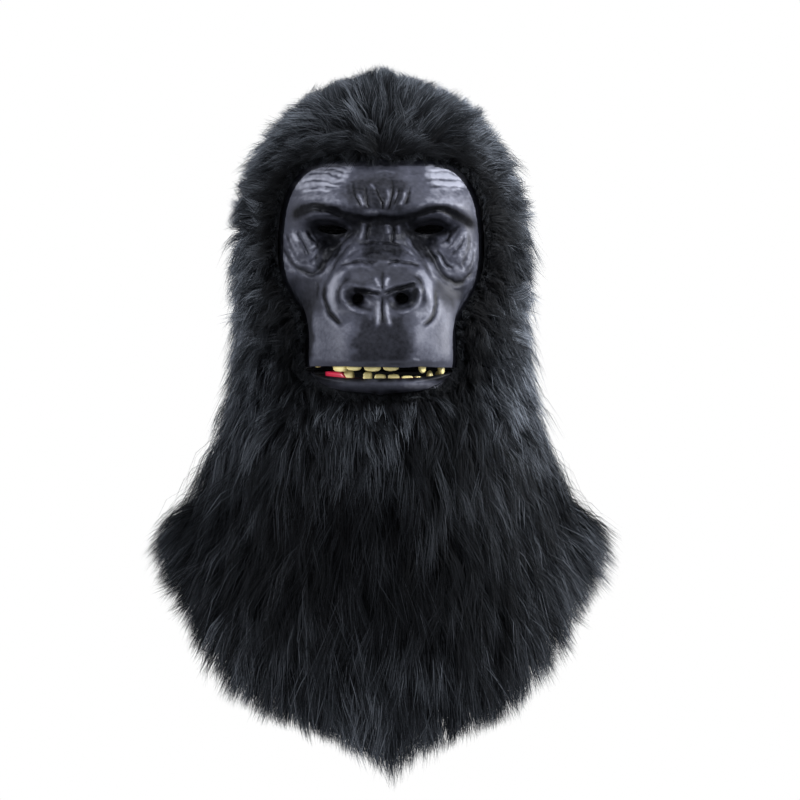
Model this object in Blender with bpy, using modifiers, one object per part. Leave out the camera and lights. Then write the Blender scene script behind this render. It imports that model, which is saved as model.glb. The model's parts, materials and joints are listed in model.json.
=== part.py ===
"""A full-head gorilla mask: a moulded face and lower jaw in a fur hood that runs down into a shoulder cape.

Metres, +Z up. The wearer looks along -Y. The origin is the point inside the hood where the crown bears.
"""

import math

import bmesh
import bpy
from mathutils import Vector

# Hood cloth, measured on its outside from the crown down
HOOD_WIDTH = 0.190
HOOD_FRONT = 0.104
HOOD_BACK = 0.108
HOOD_HEIGHT = 0.225
# Cape cloth, its drops measured from the crown
SHOULDER_WIDTH = 0.313
CHEST_REACH = 0.116
BACK_REACH = 0.112
SIDE_DROP = 0.355
FRONT_DROP = 0.508
BACK_DROP = 0.430
# How softly the hem turns at the shoulder, as a share of the turn from front to side
HEM_SOFTNESS = 0.16
# Walls, and the gaps that neighbours keep
CLOTH = 0.002
SEAM_GAP = 0.0006
SEAM_LEAN = 0.01
PILE_GAP = 0.0005
TUCK_GAP = 0.0022
# Fur, as the depth of pile that stands on the cloth
HOOD_PILE = 0.027
CAPE_PILE = 0.024
HEM_PILE = 0.048
RIM_PILE_SHARE = 0.35
RIM_FADE = 0.040
# Face, whose reach is measured ahead of the front of the hood
FACE_WIDTH = 0.165
MUZZLE_WIDTH = 0.122
MUZZLE_REACH = 0.042
FACE_TOP = 0.057
FACE_HEIGHT = 0.168
JAW_HEIGHT = 0.024
SHELL_WALL = 0.0025
TUCK = 0.008
RIM_CLEARANCE = 0.0015
RIM_TUCK = 0.0045
# Eye slits and nostrils, which are cut through the face
EYE_SPACING = 0.078
EYE_DROP = 0.1115
EYE_WIDTH = 0.0235
EYE_HEIGHT = 0.0075
NOSTRIL_SPACING = 0.035
NOSTRIL_DROP = 0.1685
NOSTRIL_WIDTH = 0.0095
NOSTRIL_HEIGHT = 0.0085
# Mouth
MOUTH_GAP = 0.008
CORNER_RISE = 0.006
GUM_WIDTH = 0.0105
GUM_HEIGHT = {"upper": 0.004, "lower": 0.0025}
GUM_COVER = {"upper": -0.002, "lower": 0.0005}
GUM_INSET = {"upper": 0.0045, "lower": 0.0050}
GUM_REACH = {"upper": 0.93, "lower": 0.80}
GUM_STATIONS = 16
TOOTH_DEPTH = 0.0055
TOOTH_GAP = 0.0003
TOOTH_EDGE = 0.001
TIP_SHARE, BACK_SHARE = 0.82, 0.75
UNDERBITE = 0.0010
# Mesh counts
CLOTH_TURNS = 30
CLOTH_ROWS = {"hood": 12, "cape": 6}
ROW_SPREAD = {"hood": 1.0, "cape": 1.4}
FACE_COLUMNS = 11
FACE_ROWS = 21
JAW_ROWS = 5

# Meridian of the hood from the crown to the neck seam, in shares of the hood's own sizes
HOOD_SECTIONS = (
    dict(along=0.00, down=0.000, wide=0.00, front=0.00, back=0.00),
    dict(along=0.08, down=0.022, wide=0.23, front=0.30, back=0.29),
    dict(along=0.16, down=0.071, wide=0.44, front=0.56, back=0.555),
    dict(along=0.24, down=0.133, wide=0.63, front=0.73, back=0.74),
    dict(along=0.32, down=0.200, wide=0.78, front=0.845, back=0.86),
    dict(along=0.40, down=0.267, wide=0.875, front=0.92, back=0.935),
    dict(along=0.48, down=0.338, wide=0.945, front=0.965, back=0.98),
    dict(along=0.58, down=0.430, wide=0.99, front=0.99, back=1.00),
    dict(along=0.70, down=0.560, wide=1.00, front=1.00, back=0.985),
    dict(along=0.80, down=0.700, wide=1.00, front=0.98, back=0.925),
    dict(along=0.90, down=0.850, wide=0.99, front=0.985, back=0.84),
    dict(along=1.00, down=1.000, wide=0.99, front=1.085, back=0.77),
)
# Meridian of the cape: how far each size has gone from the neck seam's to the hem's
CAPE_SECTIONS = (
    dict(along=1.00, down=0.00, wide=0.00, front=0.00, back=0.00),
    dict(along=1.06, down=0.06, wide=0.02, front=1.60, back=0.06),
    dict(along=1.15, down=0.15, wide=0.11, front=3.00, back=0.22),
    dict(along=1.28, down=0.28, wide=0.20, front=3.00, back=0.42),
    dict(along=1.50, down=0.50, wide=0.33, front=1.70, back=0.72),
    dict(along=1.75, down=0.75, wide=0.54, front=1.00, back=0.92),
    dict(along=1.90, down=0.90, wide=0.80, front=1.00, back=0.98),
    dict(along=2.00, down=1.00, wide=1.00, front=1.00, back=1.00),
)
# Right half of the face opening, from its top down. The half width is the sum of both shares
OPENING = (
    dict(down=0.000, face=0.00, muzzle=0.00),
    dict(down=-0.006, face=0.36, muzzle=0.00),
    dict(down=0.006, face=0.63, muzzle=0.00),
    dict(down=0.052, face=0.80, muzzle=0.00),
    dict(down=0.135, face=0.92, muzzle=0.00),
    dict(down=0.240, face=0.98, muzzle=0.00),
    dict(down=0.370, face=1.00, muzzle=0.00),
    dict(down=0.475, face=0.97, muzzle=0.00),
    dict(down=0.550, face=0.55, muzzle=0.46),
    dict(down=0.625, face=0.10, muzzle=0.93),
    dict(down=0.720, face=0.00, muzzle=1.00),
    dict(down=0.830, face=0.00, muzzle=1.00),
    dict(down=0.890, face=0.00, muzzle=0.98),
    dict(down=0.925, face=0.00, muzzle=0.90),
    dict(down=0.960, face=0.00, muzzle=0.74),
    dict(down=0.985, face=0.00, muzzle=0.50),
    dict(down=1.000, face=0.00, muzzle=0.00),
)
# Sections of the face from forehead to lip. The half width is the sum of two shares, x runs in
# shares of it, and y is the reach ahead of the hood in shares of MUZZLE_REACH
FACE_SECTIONS = (
    dict(down=0.000, face=0.74, muzzle=0, y0=-0.31, x1=0.35, y1=-0.31, x2=0.65, y2=-0.48, x3=0.88, y3=-0.76),
    dict(down=0.083, face=0.90, muzzle=0, y0=-0.02, x1=0.33, y1=-0.02, x2=0.63, y2=-0.24, x3=0.86, y3=-0.64),
    dict(down=0.155, face=0.96, muzzle=0, y0=0.17, x1=0.33, y1=0.21, x2=0.62, y2=0.02, x3=0.86, y3=-0.48),
    dict(down=0.214, face=0.98, muzzle=0, y0=0.21, x1=0.33, y1=0.33, x2=0.62, y2=0.17, x3=0.86, y3=-0.38),
    dict(down=0.268, face=1.00, muzzle=0, y0=0.10, x1=0.30, y1=0.19, x2=0.60, y2=0.02, x3=0.86, y3=-0.43),
    dict(down=0.321, face=1.00, muzzle=0, y0=0.03, x1=0.22, y1=-0.02, x2=0.52, y2=-0.29, x3=0.84, y3=-0.57),
    dict(down=0.393, face=1.00, muzzle=0, y0=0.12, x1=0.22, y1=0.00, x2=0.54, y2=-0.36, x3=0.84, y3=-0.58),
    dict(down=0.476, face=1.00, muzzle=0, y0=0.38, x1=0.30, y1=0.19, x2=0.55, y2=-0.29, x3=0.84, y3=-0.60),
    dict(down=0.554, face=0.98, muzzle=0, y0=0.67, x1=0.36, y1=0.48, x2=0.56, y2=-0.14, x3=0.84, y3=-0.67),
    dict(down=0.631, face=0.60, muzzle=0.42, y0=0.84, x1=0.42, y1=0.64, x2=0.64, y2=0.02, x3=0.86, y3=-0.72),
    dict(down=0.714, face=0.12, muzzle=0.92, y0=0.80, x1=0.48, y1=0.62, x2=0.80, y2=0.08, x3=0.95, y3=-0.55),
    dict(down=0.798, face=0.00, muzzle=1.00, y0=0.88, x1=0.50, y1=0.78, x2=0.86, y2=0.28, x3=0.985, y3=-0.36),
    dict(down=0.893, face=0.00, muzzle=1.00, y0=1.00, x1=0.50, y1=0.88, x2=0.88, y2=0.36, x3=0.99, y3=-0.34),
    dict(down=0.964, face=0.00, muzzle=1.00, y0=1.00, x1=0.50, y1=0.88, x2=0.88, y2=0.36, x3=0.99, y3=-0.34),
    dict(down=1.000, face=0.00, muzzle=0.985, y0=0.90, x1=0.50, y1=0.78, x2=0.88, y2=0.26, x3=0.99, y3=-0.36),
)
# Sections of the lower jaw from its lip down to where the cape covers it
JAW_SECTIONS = (
    dict(down=0.00, face=0, muzzle=0.965, y0=0.76, x1=0.50, y1=0.64, x2=0.88, y2=0.15, x3=0.985, y3=-0.26),
    dict(down=0.22, face=0, muzzle=0.965, y0=0.86, x1=0.50, y1=0.74, x2=0.88, y2=0.22, x3=0.985, y3=-0.24),
    dict(down=0.50, face=0, muzzle=0.965, y0=0.82, x1=0.50, y1=0.70, x2=0.87, y2=0.18, x3=0.985, y3=-0.24),
    dict(down=0.75, face=0, muzzle=0.965, y0=0.66, x1=0.50, y1=0.54, x2=0.86, y2=0.10, x3=0.985, y3=-0.26),
    dict(down=1.00, face=0, muzzle=0.965, y0=0.42, x1=0.50, y1=0.30, x2=0.85, y2=-0.04, x3=0.985, y3=-0.30),
)
SECTION_STOPS = (0.0, 0.24, 0.48, 0.73, 0.93, 1.0)
JAW_SHOWN = 0.8
CHIN_STARTS = 0.85
# Swellings and hollows of the face: place and size in shares of the half face, push of MUZZLE_REACH
RELIEF = (
    dict(name="eye_socket", x=0.47, z=0.335, wide=0.24, high=0.060, push=-0.26),
    dict(name="brow_end", x=0.62, z=0.215, wide=0.30, high=0.045, push=0.08),
    dict(name="cheek_pad", x=0.76, z=0.450, wide=0.20, high=0.090, push=0.10),
    dict(name="nose_wing", x=0.34, z=0.610, wide=0.15, high=0.075, push=0.16),
    dict(name="nose_tip", x=0.00, z=0.610, wide=0.16, high=0.045, push=0.08),
    dict(name="nostril", x=0.21, z=0.665, wide=0.085, high=0.032, push=-0.24),
    dict(name="lip_swell", x=0.36, z=0.860, wide=0.26, high=0.090, push=0.05),
)
# Teeth as they stand in the mouth. x and width are shares of the half muzzle, length of MOUTH_GAP
UPPER_TEETH = (
    dict(name="upper_molar_right", x=-0.88, width=0.13, length=0.35),
    dict(name="upper_canine_right", x=-0.575, width=0.185, length=0.62),
    dict(name="upper_premolar_right", x=-0.355, width=0.235, length=0.40),
    dict(name="upper_incisor_right", x=-0.11, width=0.24, length=0.46),
    dict(name="upper_incisor_left", x=0.14, width=0.24, length=0.42),
    dict(name="upper_canine_left", x=0.585, width=0.115, length=0.58),
    dict(name="upper_molar_left", x=0.87, width=0.13, length=0.30),
)
LOWER_TEETH = (
    dict(name="lower_canine_right", x=-0.42, width=0.15, length=0.92),
    dict(name="lower_incisor_1", x=-0.175, width=0.125, length=0.70),
    dict(name="lower_incisor_2", x=-0.01, width=0.155, length=0.42),
    dict(name="lower_incisor_3", x=0.18, width=0.155, length=0.46),
    dict(name="lower_incisor_4", x=0.365, width=0.160, length=0.28),
    dict(name="lower_premolar_left", x=0.545, width=0.120, length=0.20),
    dict(name="lower_canine_left", x=0.70, width=0.11, length=0.90),
    dict(name="lower_molar_left", x=0.80, width=0.11, length=0.20),
)
# Fur locks: where each row of locks starts and ends along the meridian
CROWN_ROWS = (0.0, 0.06, 0.12, 0.18)
CROWN_PILE = 0.76
HOOD_LOCKS = ((0.18, 0.38), (0.38, 0.58), (0.58, 0.79), (0.79, 1.0))
CAPE_LOCKS = ((1.0, 1.22), (1.22, 1.45), (1.45, 1.68), (1.68, 1.86))
LOCK_POINT = 0.035
LOCK_STEP = 0.018
LOCK_ROOT, LOCK_CREST, LOCK_GROOVE = 0.74, 1.0, 0.80
LOCK_SWELL = 0.58
LOCK_TAPER = 0.96
SEAM_TAPER = 0.90
LOCK_VARIETY = 0.5
# The last rows of fur: how far past the hem their hair reaches, in shares of HEM_PILE
HEM_ROWS = (
    dict(at=1.90, hair=0.0, point=0.02, crest=0, high=0.74, low=0.74),
    dict(at=2.00, hair=0.0, point=0.0, crest=1, high=0.86, low=0.62),
    dict(at=2.00, hair=0.8, point=0.019, crest=1, high=0.16, low=0.10),
)
HEM_ROOTS = 0.55
# Where the cutters start, in shares of HOOD_FRONT ahead of the middle
OPENING_CUT_STARTS = 0.1
HOLE_CUT_STARTS = 0.3

# What the record and the neighbours both use
HALF_FACE = FACE_WIDTH / 2
HALF_MUZZLE = MUZZLE_WIDTH / 2
LIP_DROP = FACE_TOP + FACE_HEIGHT
OPENING_HEIGHT = FACE_HEIGHT + JAW_HEIGHT


def smooth_through(knots, values, at):
    """The smooth curve through the values at these knots, read at one place."""
    last = len(knots) - 1
    at = min(max(at, knots[0]), knots[last])
    step = max(k for k in range(last) if knots[k] <= at)
    span = knots[step + 1] - knots[step]

    def slope(k):
        low, high = max(k - 1, 0), min(k + 1, last)
        return (values[high] - values[low]) / (knots[high] - knots[low])

    t = (at - knots[step]) / span
    ease = t * t * (3 - 2 * t)
    return (
        values[step] * (1 - ease)
        + values[step + 1] * ease
        + slope(step) * (span * t * (1 - t) ** 2)
        - slope(step + 1) * (span * t * t * (1 - t))
    )


def column(rows, name, at, by="along"):
    """One named column of a table of sections, read between its rows."""
    return smooth_through([row[by] for row in rows], [row[name] for row in rows], at)


def fade(value):
    """0 below 0, 1 above 1, and a smooth step between."""
    t = min(max(value, 0.0), 1.0)
    return t * t * (3 - 2 * t)


def cloth_section(along):
    """Half width, reaches and drops of the cloth's ring at this place on the meridian."""
    hood = min(along, 1.0)
    down = HOOD_HEIGHT * column(HOOD_SECTIONS, "down", hood)
    section = {
        "half": HOOD_WIDTH / 2 * column(HOOD_SECTIONS, "wide", hood),
        "front": HOOD_FRONT * column(HOOD_SECTIONS, "front", hood),
        "back": HOOD_BACK * column(HOOD_SECTIONS, "back", hood),
        "front_drop": down,
        "side_drop": down,
        "back_drop": down,
    }
    if along > 1.0:
        part = {name: column(CAPE_SECTIONS, name, along) for name in ("down", "wide", "front", "back")}
        section["half"] += (SHOULDER_WIDTH / 2 - section["half"]) * part["wide"]
        section["front"] += (CHEST_REACH - section["front"]) * part["front"]
        section["back"] += (BACK_REACH - section["back"]) * part["back"]
        section["front_drop"] += (FRONT_DROP - down) * part["down"]
        section["side_drop"] += (SIDE_DROP - down) * part["down"]
        section["back_drop"] += (BACK_DROP - down) * part["down"]
    return section


def cloth_point(turn, along):
    """The outside of the cloth. turn is 0 at the front and runs towards +X."""
    section = cloth_section(along)
    ahead, aside = math.cos(turn), math.sin(turn)
    end = "front" if ahead > 0 else "back"
    hang = (math.hypot(ahead, HEM_SOFTNESS) - HEM_SOFTNESS) / (math.hypot(1, HEM_SOFTNESS) - HEM_SOFTNESS)
    drop = section["side_drop"] + (section[end + "_drop"] - section["side_drop"]) * hang
    return Vector((section["half"] * aside, -section[end] * ahead, CLOTH - drop))


def cloth_normal(turn, along):
    """Straight out of the cloth, from the surface's own slopes."""
    step = 0.004
    if along < step:
        return Vector((0, 0, 1))
    across = cloth_point(turn + step, along) - cloth_point(turn - step, along)
    down = cloth_point(turn, min(along + step, 2.0)) - cloth_point(turn, along - step)
    return down.cross(across).normalized()


def above_cloth(turn, along, height):
    """A point this far out of the cloth. Past the hem it goes on in the cloth's own direction.

    By the neck seam both panels lean the same way, so that what stands on them meets face to face.
    """
    if along <= 2.0:
        lean = 1.0 if abs(along - 1.0) < SEAM_LEAN else along
        return cloth_point(turn, along) + cloth_normal(turn, lean) * height
    way = (cloth_point(turn, 2.0) - cloth_point(turn, 1.96)).normalized()
    return cloth_point(turn, 2.0) + cloth_normal(turn, 2.0) * height + way * (along - 2.0)


def seen_on_cloth(x, z):
    """The turn and place along the meridian where the cloth is met from the front at x and z."""
    low, high = 0.0, 2.0
    turn = 0.0
    for _ in range(20):
        along = (low + high) / 2
        half = max(cloth_section(along)["half"], 1e-6)
        turn = math.asin(min(max(x / half, -1.0), 1.0))
        if cloth_point(turn, along).z > z:
            low = along
        else:
            high = along
    return turn, (low + high) / 2


def under_cloth(turn, along):
    """A point of something that is tucked behind the cloth."""
    return above_cloth(turn, along, -(CLOTH + TUCK_GAP))


def seen_under_cloth(x, z):
    """The turn and place along the meridian whose tucked point is seen from the front at x and z."""
    aim_x, aim_z = x, z
    for _ in range(4):
        turn, along = seen_on_cloth(aim_x, aim_z)
        found = under_cloth(turn, along)
        aim_x += x - found.x
        aim_z += z - found.z
    return turn, along


def half_width(row):
    """The two shares of a section's half width, added up."""
    return row["face"] * HALF_FACE + row["muzzle"] * HALF_MUZZLE


def opening_outline(clearance):
    """The whole outline of the face opening in x and z, round from the top."""
    downs = [row["down"] for row in OPENING]
    halves = [half_width(row) for row in OPENING]
    fine = [k / 4 for k in range(4 * (len(OPENING) - 1) + 1)]
    places = list(range(len(OPENING)))
    right = []
    for at in fine:
        half = max(smooth_through(places, halves, at), 0.0)
        down = smooth_through(places, downs, at)
        right.append((half + (clearance if half > 0 else 0), CLOTH - FACE_TOP - OPENING_HEIGHT * down))
    top, bottom = right[0], right[-1]
    right[0] = (0.0, top[1] + clearance)
    right[-1] = (0.0, bottom[1] - clearance)
    return right + [(-x, z) for x, z in reversed(right[1:-1])]


OUTLINE = opening_outline(RIM_CLEARANCE)


def beyond_opening(x, z):
    """How far outside the face opening a point lies, in the plane of the face. Negative inside."""
    near = min(math.hypot(x - px, z - pz) for px, pz in OUTLINE)
    inside = False
    for (ax, az), (bx, bz) in zip(OUTLINE, OUTLINE[1:] + OUTLINE[:1]):
        if (az > z) != (bz > z) and x < ax + (z - az) / (bz - az) * (bx - ax):
            inside = not inside
    return -near if inside else near


def new_mesh(name, bm):
    """Turns what bmesh holds into an object with smooth faces and sharp creases."""
    bmesh.ops.recalc_face_normals(bm, faces=bm.faces)
    mesh = bpy.data.meshes.new(name)
    bm.to_mesh(mesh)
    bm.free()
    mesh.shade_smooth()
    mesh.set_sharp_from_angle(angle=math.radians(40))
    obj = bpy.data.objects.new(name, mesh)
    return obj


def sheet(bm, columns, rows, place):
    """A grid of faces whose corners place(column, row) sets. Returns its vertices by column and row."""
    made = bmesh.ops.create_grid(bm, x_segments=columns, y_segments=rows, size=1.0)["verts"]
    grid = {}
    for vert in made:
        key = (round((vert.co.x + 1) / 2 * columns), round((1 - vert.co.y) / 2 * rows))
        grid[key] = vert
    for (c, r), vert in grid.items():
        vert.co = place(c, r)
    quads = {face for vert in made for face in vert.link_faces}
    bmesh.ops.triangulate(bm, faces=sorted(quads, key=lambda face: face.index), quad_method="FIXED")
    return grid


def closed_round(bm):
    """Joins a grid's first and last column, and the corners that meet at the crown."""
    bmesh.ops.remove_doubles(bm, verts=bm.verts, dist=1e-6)


def paint(obj, name, colour, roughness, metallic=0.0):
    """Gives an object its own Principled material."""
    material = bpy.data.materials.new(name)
    material.use_nodes = True
    shader = material.node_tree.nodes["Principled BSDF"]
    shader.inputs["Base Color"].default_value = (*colour, 1.0)
    shader.inputs["Roughness"].default_value = roughness
    shader.inputs["Metallic"].default_value = metallic
    obj.data.materials.append(material)
    return obj


def cut(obj, cutter):
    """Takes the cutter's shape out of the object."""
    boolean = obj.modifiers.new("cut_" + cutter.name, "BOOLEAN")
    boolean.operation = "DIFFERENCE"
    boolean.solver = "EXACT"
    boolean.object = cutter


def opening_cutter(collection):
    """The face opening's outline, drawn through the front of the hood only."""
    data = bpy.data.curves.new("opening_cutter_curve", "CURVE")
    data.dimensions = "2D"
    data.fill_mode = "BOTH"
    ahead = HOOD_FRONT + MUZZLE_REACH + HOOD_PILE + CAPE_PILE + CHEST_REACH
    data.extrude = ahead / 2
    spline = data.splines.new("POLY")
    spline.points.add(len(OUTLINE) - 1)
    for point, (x, z) in zip(spline.points, OUTLINE):
        point.co = (x, z, 0, 1)
    spline.use_cyclic_u = True
    curve = bpy.data.objects.new("opening_curve", data)
    collection.objects.link(curve)
    curve.rotation_euler = (math.pi / 2, 0, 0)
    curve.location = (0, -ahead / 2 - OPENING_CUT_STARTS * HOOD_FRONT, 0)
    bpy.context.view_layer.update()
    graph = bpy.context.evaluated_depsgraph_get()
    mesh = bpy.data.meshes.new_from_object(curve.evaluated_get(graph))
    bm = bmesh.new()
    bm.from_mesh(mesh)
    bmesh.ops.remove_doubles(bm, verts=bm.verts, dist=1e-6)
    bm.to_mesh(mesh)
    bm.free()
    cutter = bpy.data.objects.new("opening_cutter", mesh)
    cutter.matrix_world = curve.matrix_world
    collection.objects.link(cutter)
    bpy.data.objects.remove(curve)
    return cutter


def hole_cutter(name, sign, hole, collection):
    """An oval bar along Y that cuts one eye slit or nostril."""
    length = HOOD_FRONT + MUZZLE_REACH
    bpy.ops.mesh.primitive_cylinder_add(vertices=16, radius=0.5, depth=1.0, rotation=(math.pi / 2, 0, 0))
    cutter = bpy.context.object
    cutter.name = name
    bpy.ops.object.transform_apply(location=False, rotation=True, scale=False)
    cutter.scale = (hole["width"], length, hole["height"])
    middle = -HOLE_CUT_STARTS * HOOD_FRONT - length / 2
    cutter.location = (sign * hole["spacing"] / 2, middle, CLOTH - hole["drop"])
    for holder in cutter.users_collection:
        holder.objects.unlink(cutter)
    collection.objects.link(cutter)
    return cutter


def cloth_rows(name, start, end):
    """Where the rows of one cloth panel lie along the meridian."""
    count = CLOTH_ROWS[name]
    return [start + (end - start) * (r / count) ** ROW_SPREAD[name] for r in range(count + 1)]


def make_cloth(name, start, end, cutter):
    """One cloth panel all round the head, from one place on the meridian to another."""
    rows = cloth_rows(name, start, end)
    bm = bmesh.new()
    sheet(bm, CLOTH_TURNS, len(rows) - 1, lambda c, r: cloth_point(2 * math.pi * c / CLOTH_TURNS, rows[r]))
    closed_round(bm)
    obj = new_mesh(name + "_cloth", bm)
    wall = obj.modifiers.new("cloth_wall", "SOLIDIFY")
    wall.thickness = CLOTH
    wall.offset = -1.0
    cut(obj, cutter)
    return paint(obj, name + "_cloth", (0.012, 0.012, 0.014), 0.9)


def seam_shift():
    """Half of the gap at the neck seam, as a share of the meridian above and below it."""
    above = SEAM_GAP / 2 / (cloth_point(0, 0.99) - cloth_point(0, 1.0)).length * 0.01
    below = SEAM_GAP / 2 / (cloth_point(math.pi / 2, 1.01) - cloth_point(math.pi / 2, 1.0)).length * 0.01
    return above, below


def rim_points():
    """The edge of the face opening as it lies on the cloth."""
    return [cloth_point(*seen_on_cloth(x, z)) for x, z in OUTLINE[::2]]


RIM = rim_points()


def pile_share(turn, along):
    """How full the pile stands: low by the face opening, full away from it."""
    point = cloth_point(turn, min(along, 2.0))
    return RIM_PILE_SHARE + (1 - RIM_PILE_SHARE) * fade(min((point - rim).length for rim in RIM) / RIM_FADE)


def lock_rows(locks, first_crest):
    """Each row of the locks' outside: where it lies, its share of the pile, and which columns crest.

    A row of locks starts low under the row above, swells, and ends in points that drop to the next.
    """
    rows = []
    crest = first_crest
    for start, end in locks:
        if rows:
            root = dict(at=start + LOCK_STEP, point=LOCK_POINT, crest=1 - crest, high=LOCK_ROOT, low=LOCK_ROOT)
            rows.append(root)
        fullest = start + LOCK_SWELL * (end - start)
        rows.append(dict(at=fullest, point=0.0, crest=crest, high=LOCK_CREST, low=LOCK_GROOVE))
        rows.append(lock_tips(end, LOCK_POINT, crest, LOCK_TAPER))
        crest = 1 - crest
    return rows


def lock_tips(at, point, crest, taper):
    """The row in which a row of locks ends."""
    return dict(at=at, point=point, crest=crest, high=LOCK_CREST * taper, low=LOCK_GROOVE * taper)


def join_rims(bm, outer, outer_row, inner, inner_row):
    """Closes a shell between two rims, of which the outer one has twice as many corners."""
    for c in range(CLOTH_TURNS):
        left, middle, right = (outer[2 * c + k, outer_row] for k in range(3))
        near, far = inner[c, inner_row], inner[c + 1, inner_row]
        for corners in ((left, middle, near), (middle, right, far), (middle, far, near)):
            bm.faces.new(corners)


def fur_shell(name, inner_rows, outer_rows, pile, capped, cutter):
    """The pile as one closed body: its root side lies on the cloth, its outside is worked in locks."""
    turns = 2 * CLOTH_TURNS
    bm = bmesh.new()

    def lock_point(c, row):
        turn = 2 * math.pi * c / turns
        crest = c % 2 == row["crest"]
        uneven = 1 - LOCK_VARIETY * (0.5 + 0.5 * math.sin(2.4 * (c % turns) + 9.0 * row["at"]))
        along = row["at"] + row["point"] * (uneven - 0.5 if crest else -0.5)
        share = row["high"] if crest else row["low"]
        return above_cloth(turn, along, pile * share * pile_share(turn, along))

    def root_point(c, r):
        return above_cloth(2 * math.pi * c / CLOTH_TURNS, inner_rows[r], PILE_GAP)

    outer = sheet(bm, turns, len(outer_rows) - 1, lambda c, r: lock_point(c, outer_rows[r]))
    inner = sheet(bm, CLOTH_TURNS, len(inner_rows) - 1, root_point)
    join_rims(bm, outer, len(outer_rows) - 1, inner, len(inner_rows) - 1)
    if not capped:
        join_rims(bm, outer, 0, inner, 0)
    closed_round(bm)
    obj = new_mesh(name, bm)
    cut(obj, cutter)
    return paint(obj, name, (0.016, 0.017, 0.020), 0.85)


def make_hood_fur(cutter):
    above, _ = seam_shift()
    end = 1.0 - above
    crown = [dict(at=at, point=0, crest=0, high=CROWN_PILE, low=CROWN_PILE) for at in CROWN_ROWS]
    rows = crown + lock_rows(HOOD_LOCKS, 0)
    rows[-1] = lock_tips(end, 0.0, 1, SEAM_TAPER)
    return fur_shell("hood_fur", cloth_rows("hood", 0.0, end), rows, HOOD_PILE, True, cutter)


def make_cape_fur(cutter):
    _, below = seam_shift()
    start = 1.0 + below
    inner = cloth_rows("cape", start, 2.0) + [2.0 + HEM_ROOTS * HEM_PILE]
    rows = [lock_tips(start, 0.0, 1, SEAM_TAPER)] + lock_rows(CAPE_LOCKS, 1)
    rows += [{**row, "at": row["at"] + row["hair"] * HEM_PILE} for row in HEM_ROWS]
    return fur_shell("cape_fur", inner, rows, CAPE_PILE, False, cutter)


def column_stop(c):
    """Where a column of a moulded shell lies across its sections: the last one is the hidden rim."""
    return 1.0 if c == FACE_COLUMNS else SECTION_STOPS[-2] * c / (FACE_COLUMNS - 1)


def section_point(rows, down, s, top_drop, height):
    """A point of a moulded shell before relief, between two rows of its table of sections."""
    named = {name: column(rows, name, down, by="down") for name in rows[0] if name != "down"}
    half = half_width(named)
    z = CLOTH - top_drop - height * down
    turn, along = seen_under_cloth(half, z)
    edge = under_cloth(turn, along)
    hidden = under_cloth(turn + TUCK / math.hypot(edge.x, edge.y), along)
    if s > SECTION_STOPS[-2]:
        return edge.lerp(hidden, (s - SECTION_STOPS[-2]) / (1 - SECTION_STOPS[-2]))
    xs = [0.0, named["x1"] * half, named["x2"] * half, named["x3"] * half, edge.x, hidden.x]
    ys = [-(HOOD_FRONT + MUZZLE_REACH * named[key]) for key in ("y0", "y1", "y2", "y3")]
    ys += [edge.y, hidden.y]
    return Vector((smooth_through(SECTION_STOPS, xs, s), smooth_through(SECTION_STOPS, ys, s), z))


def tucked(point):
    """Keeps a point that lies under the cloth, or by its edge, behind it."""
    if beyond_opening(point.x, point.z) > -RIM_TUCK:
        point.y = max(point.y, under_cloth(*seen_under_cloth(point.x, point.z)).y)
    return point


def relief(x, z):
    """How far the swellings and hollows push the face forward here."""
    push = 0.0
    for row in RELIEF:
        across = (abs(x) / HALF_FACE - row["x"]) / row["wide"]
        down = ((CLOTH - FACE_TOP - z) / FACE_HEIGHT - row["z"]) / row["high"]
        push += row["push"] * math.exp(-(across**2 + down**2))
    return push * MUZZLE_REACH


def face_point(s, t):
    """The outside of the face: s runs from the middle to the rim, t from the forehead to the lip."""
    point = section_point(FACE_SECTIONS, max(t, 0.0), s, FACE_TOP, FACE_HEIGHT)
    if t < 0:
        turn, along = seen_under_cloth(point.x, point.z)
        slope = (cloth_point(turn, along + 0.01) - cloth_point(turn, along - 0.01)).length / 0.02
        return under_cloth(turn, along - TUCK / slope)
    if s > SECTION_STOPS[-2]:
        return point
    point.y -= relief(point.x, point.z)
    return tucked(point)


def chin_edge(x):
    """The height of the face opening's lower edge at this distance from the middle."""
    lower = [row for row in OPENING if row["down"] > CHIN_STARTS][::-1]
    halves = [half_width(row) for row in lower]
    drops = [row["down"] for row in lower]
    return CLOTH - FACE_TOP - OPENING_HEIGHT * smooth_through(halves, drops, abs(x))


def corner_rise(x):
    """How far the lower lip has risen at this distance from the middle."""
    return CORNER_RISE * min(abs(x) / HALF_MUZZLE, 1.0) ** 3


def jaw_point(s, t):
    """The outside of the lower jaw. Its lip rises to the corners, and its last row is hidden."""
    shown = min(t / JAW_SHOWN, 1.0)
    point = section_point(JAW_SECTIONS, shown, s, LIP_DROP + MOUTH_GAP, 0.0)
    lip = point.z + corner_rise(point.x)
    foot = min(chin_edge(point.x) + RIM_TUCK / 2, lip - CLOTH)
    if t > JAW_SHOWN:
        return under_cloth(*seen_under_cloth(point.x, foot - TUCK))
    point.z = lip + (foot - lip) * shown
    if s > SECTION_STOPS[-2]:
        return under_cloth(*seen_under_cloth(point.x, point.z))
    return tucked(point)


def moulded_shell(name, columns, rows, place):
    """A thin moulded wall: half a grid, mirrored at the middle and thickened inwards."""
    bm = bmesh.new()
    sheet(bm, columns, rows, place)
    obj = new_mesh(name, bm)
    mirror = obj.modifiers.new("other_half", "MIRROR")
    mirror.merge_threshold = 0.00005
    wall = obj.modifiers.new("shell_wall", "SOLIDIFY")
    wall.thickness = SHELL_WALL
    wall.offset = -1.0
    return obj


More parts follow.
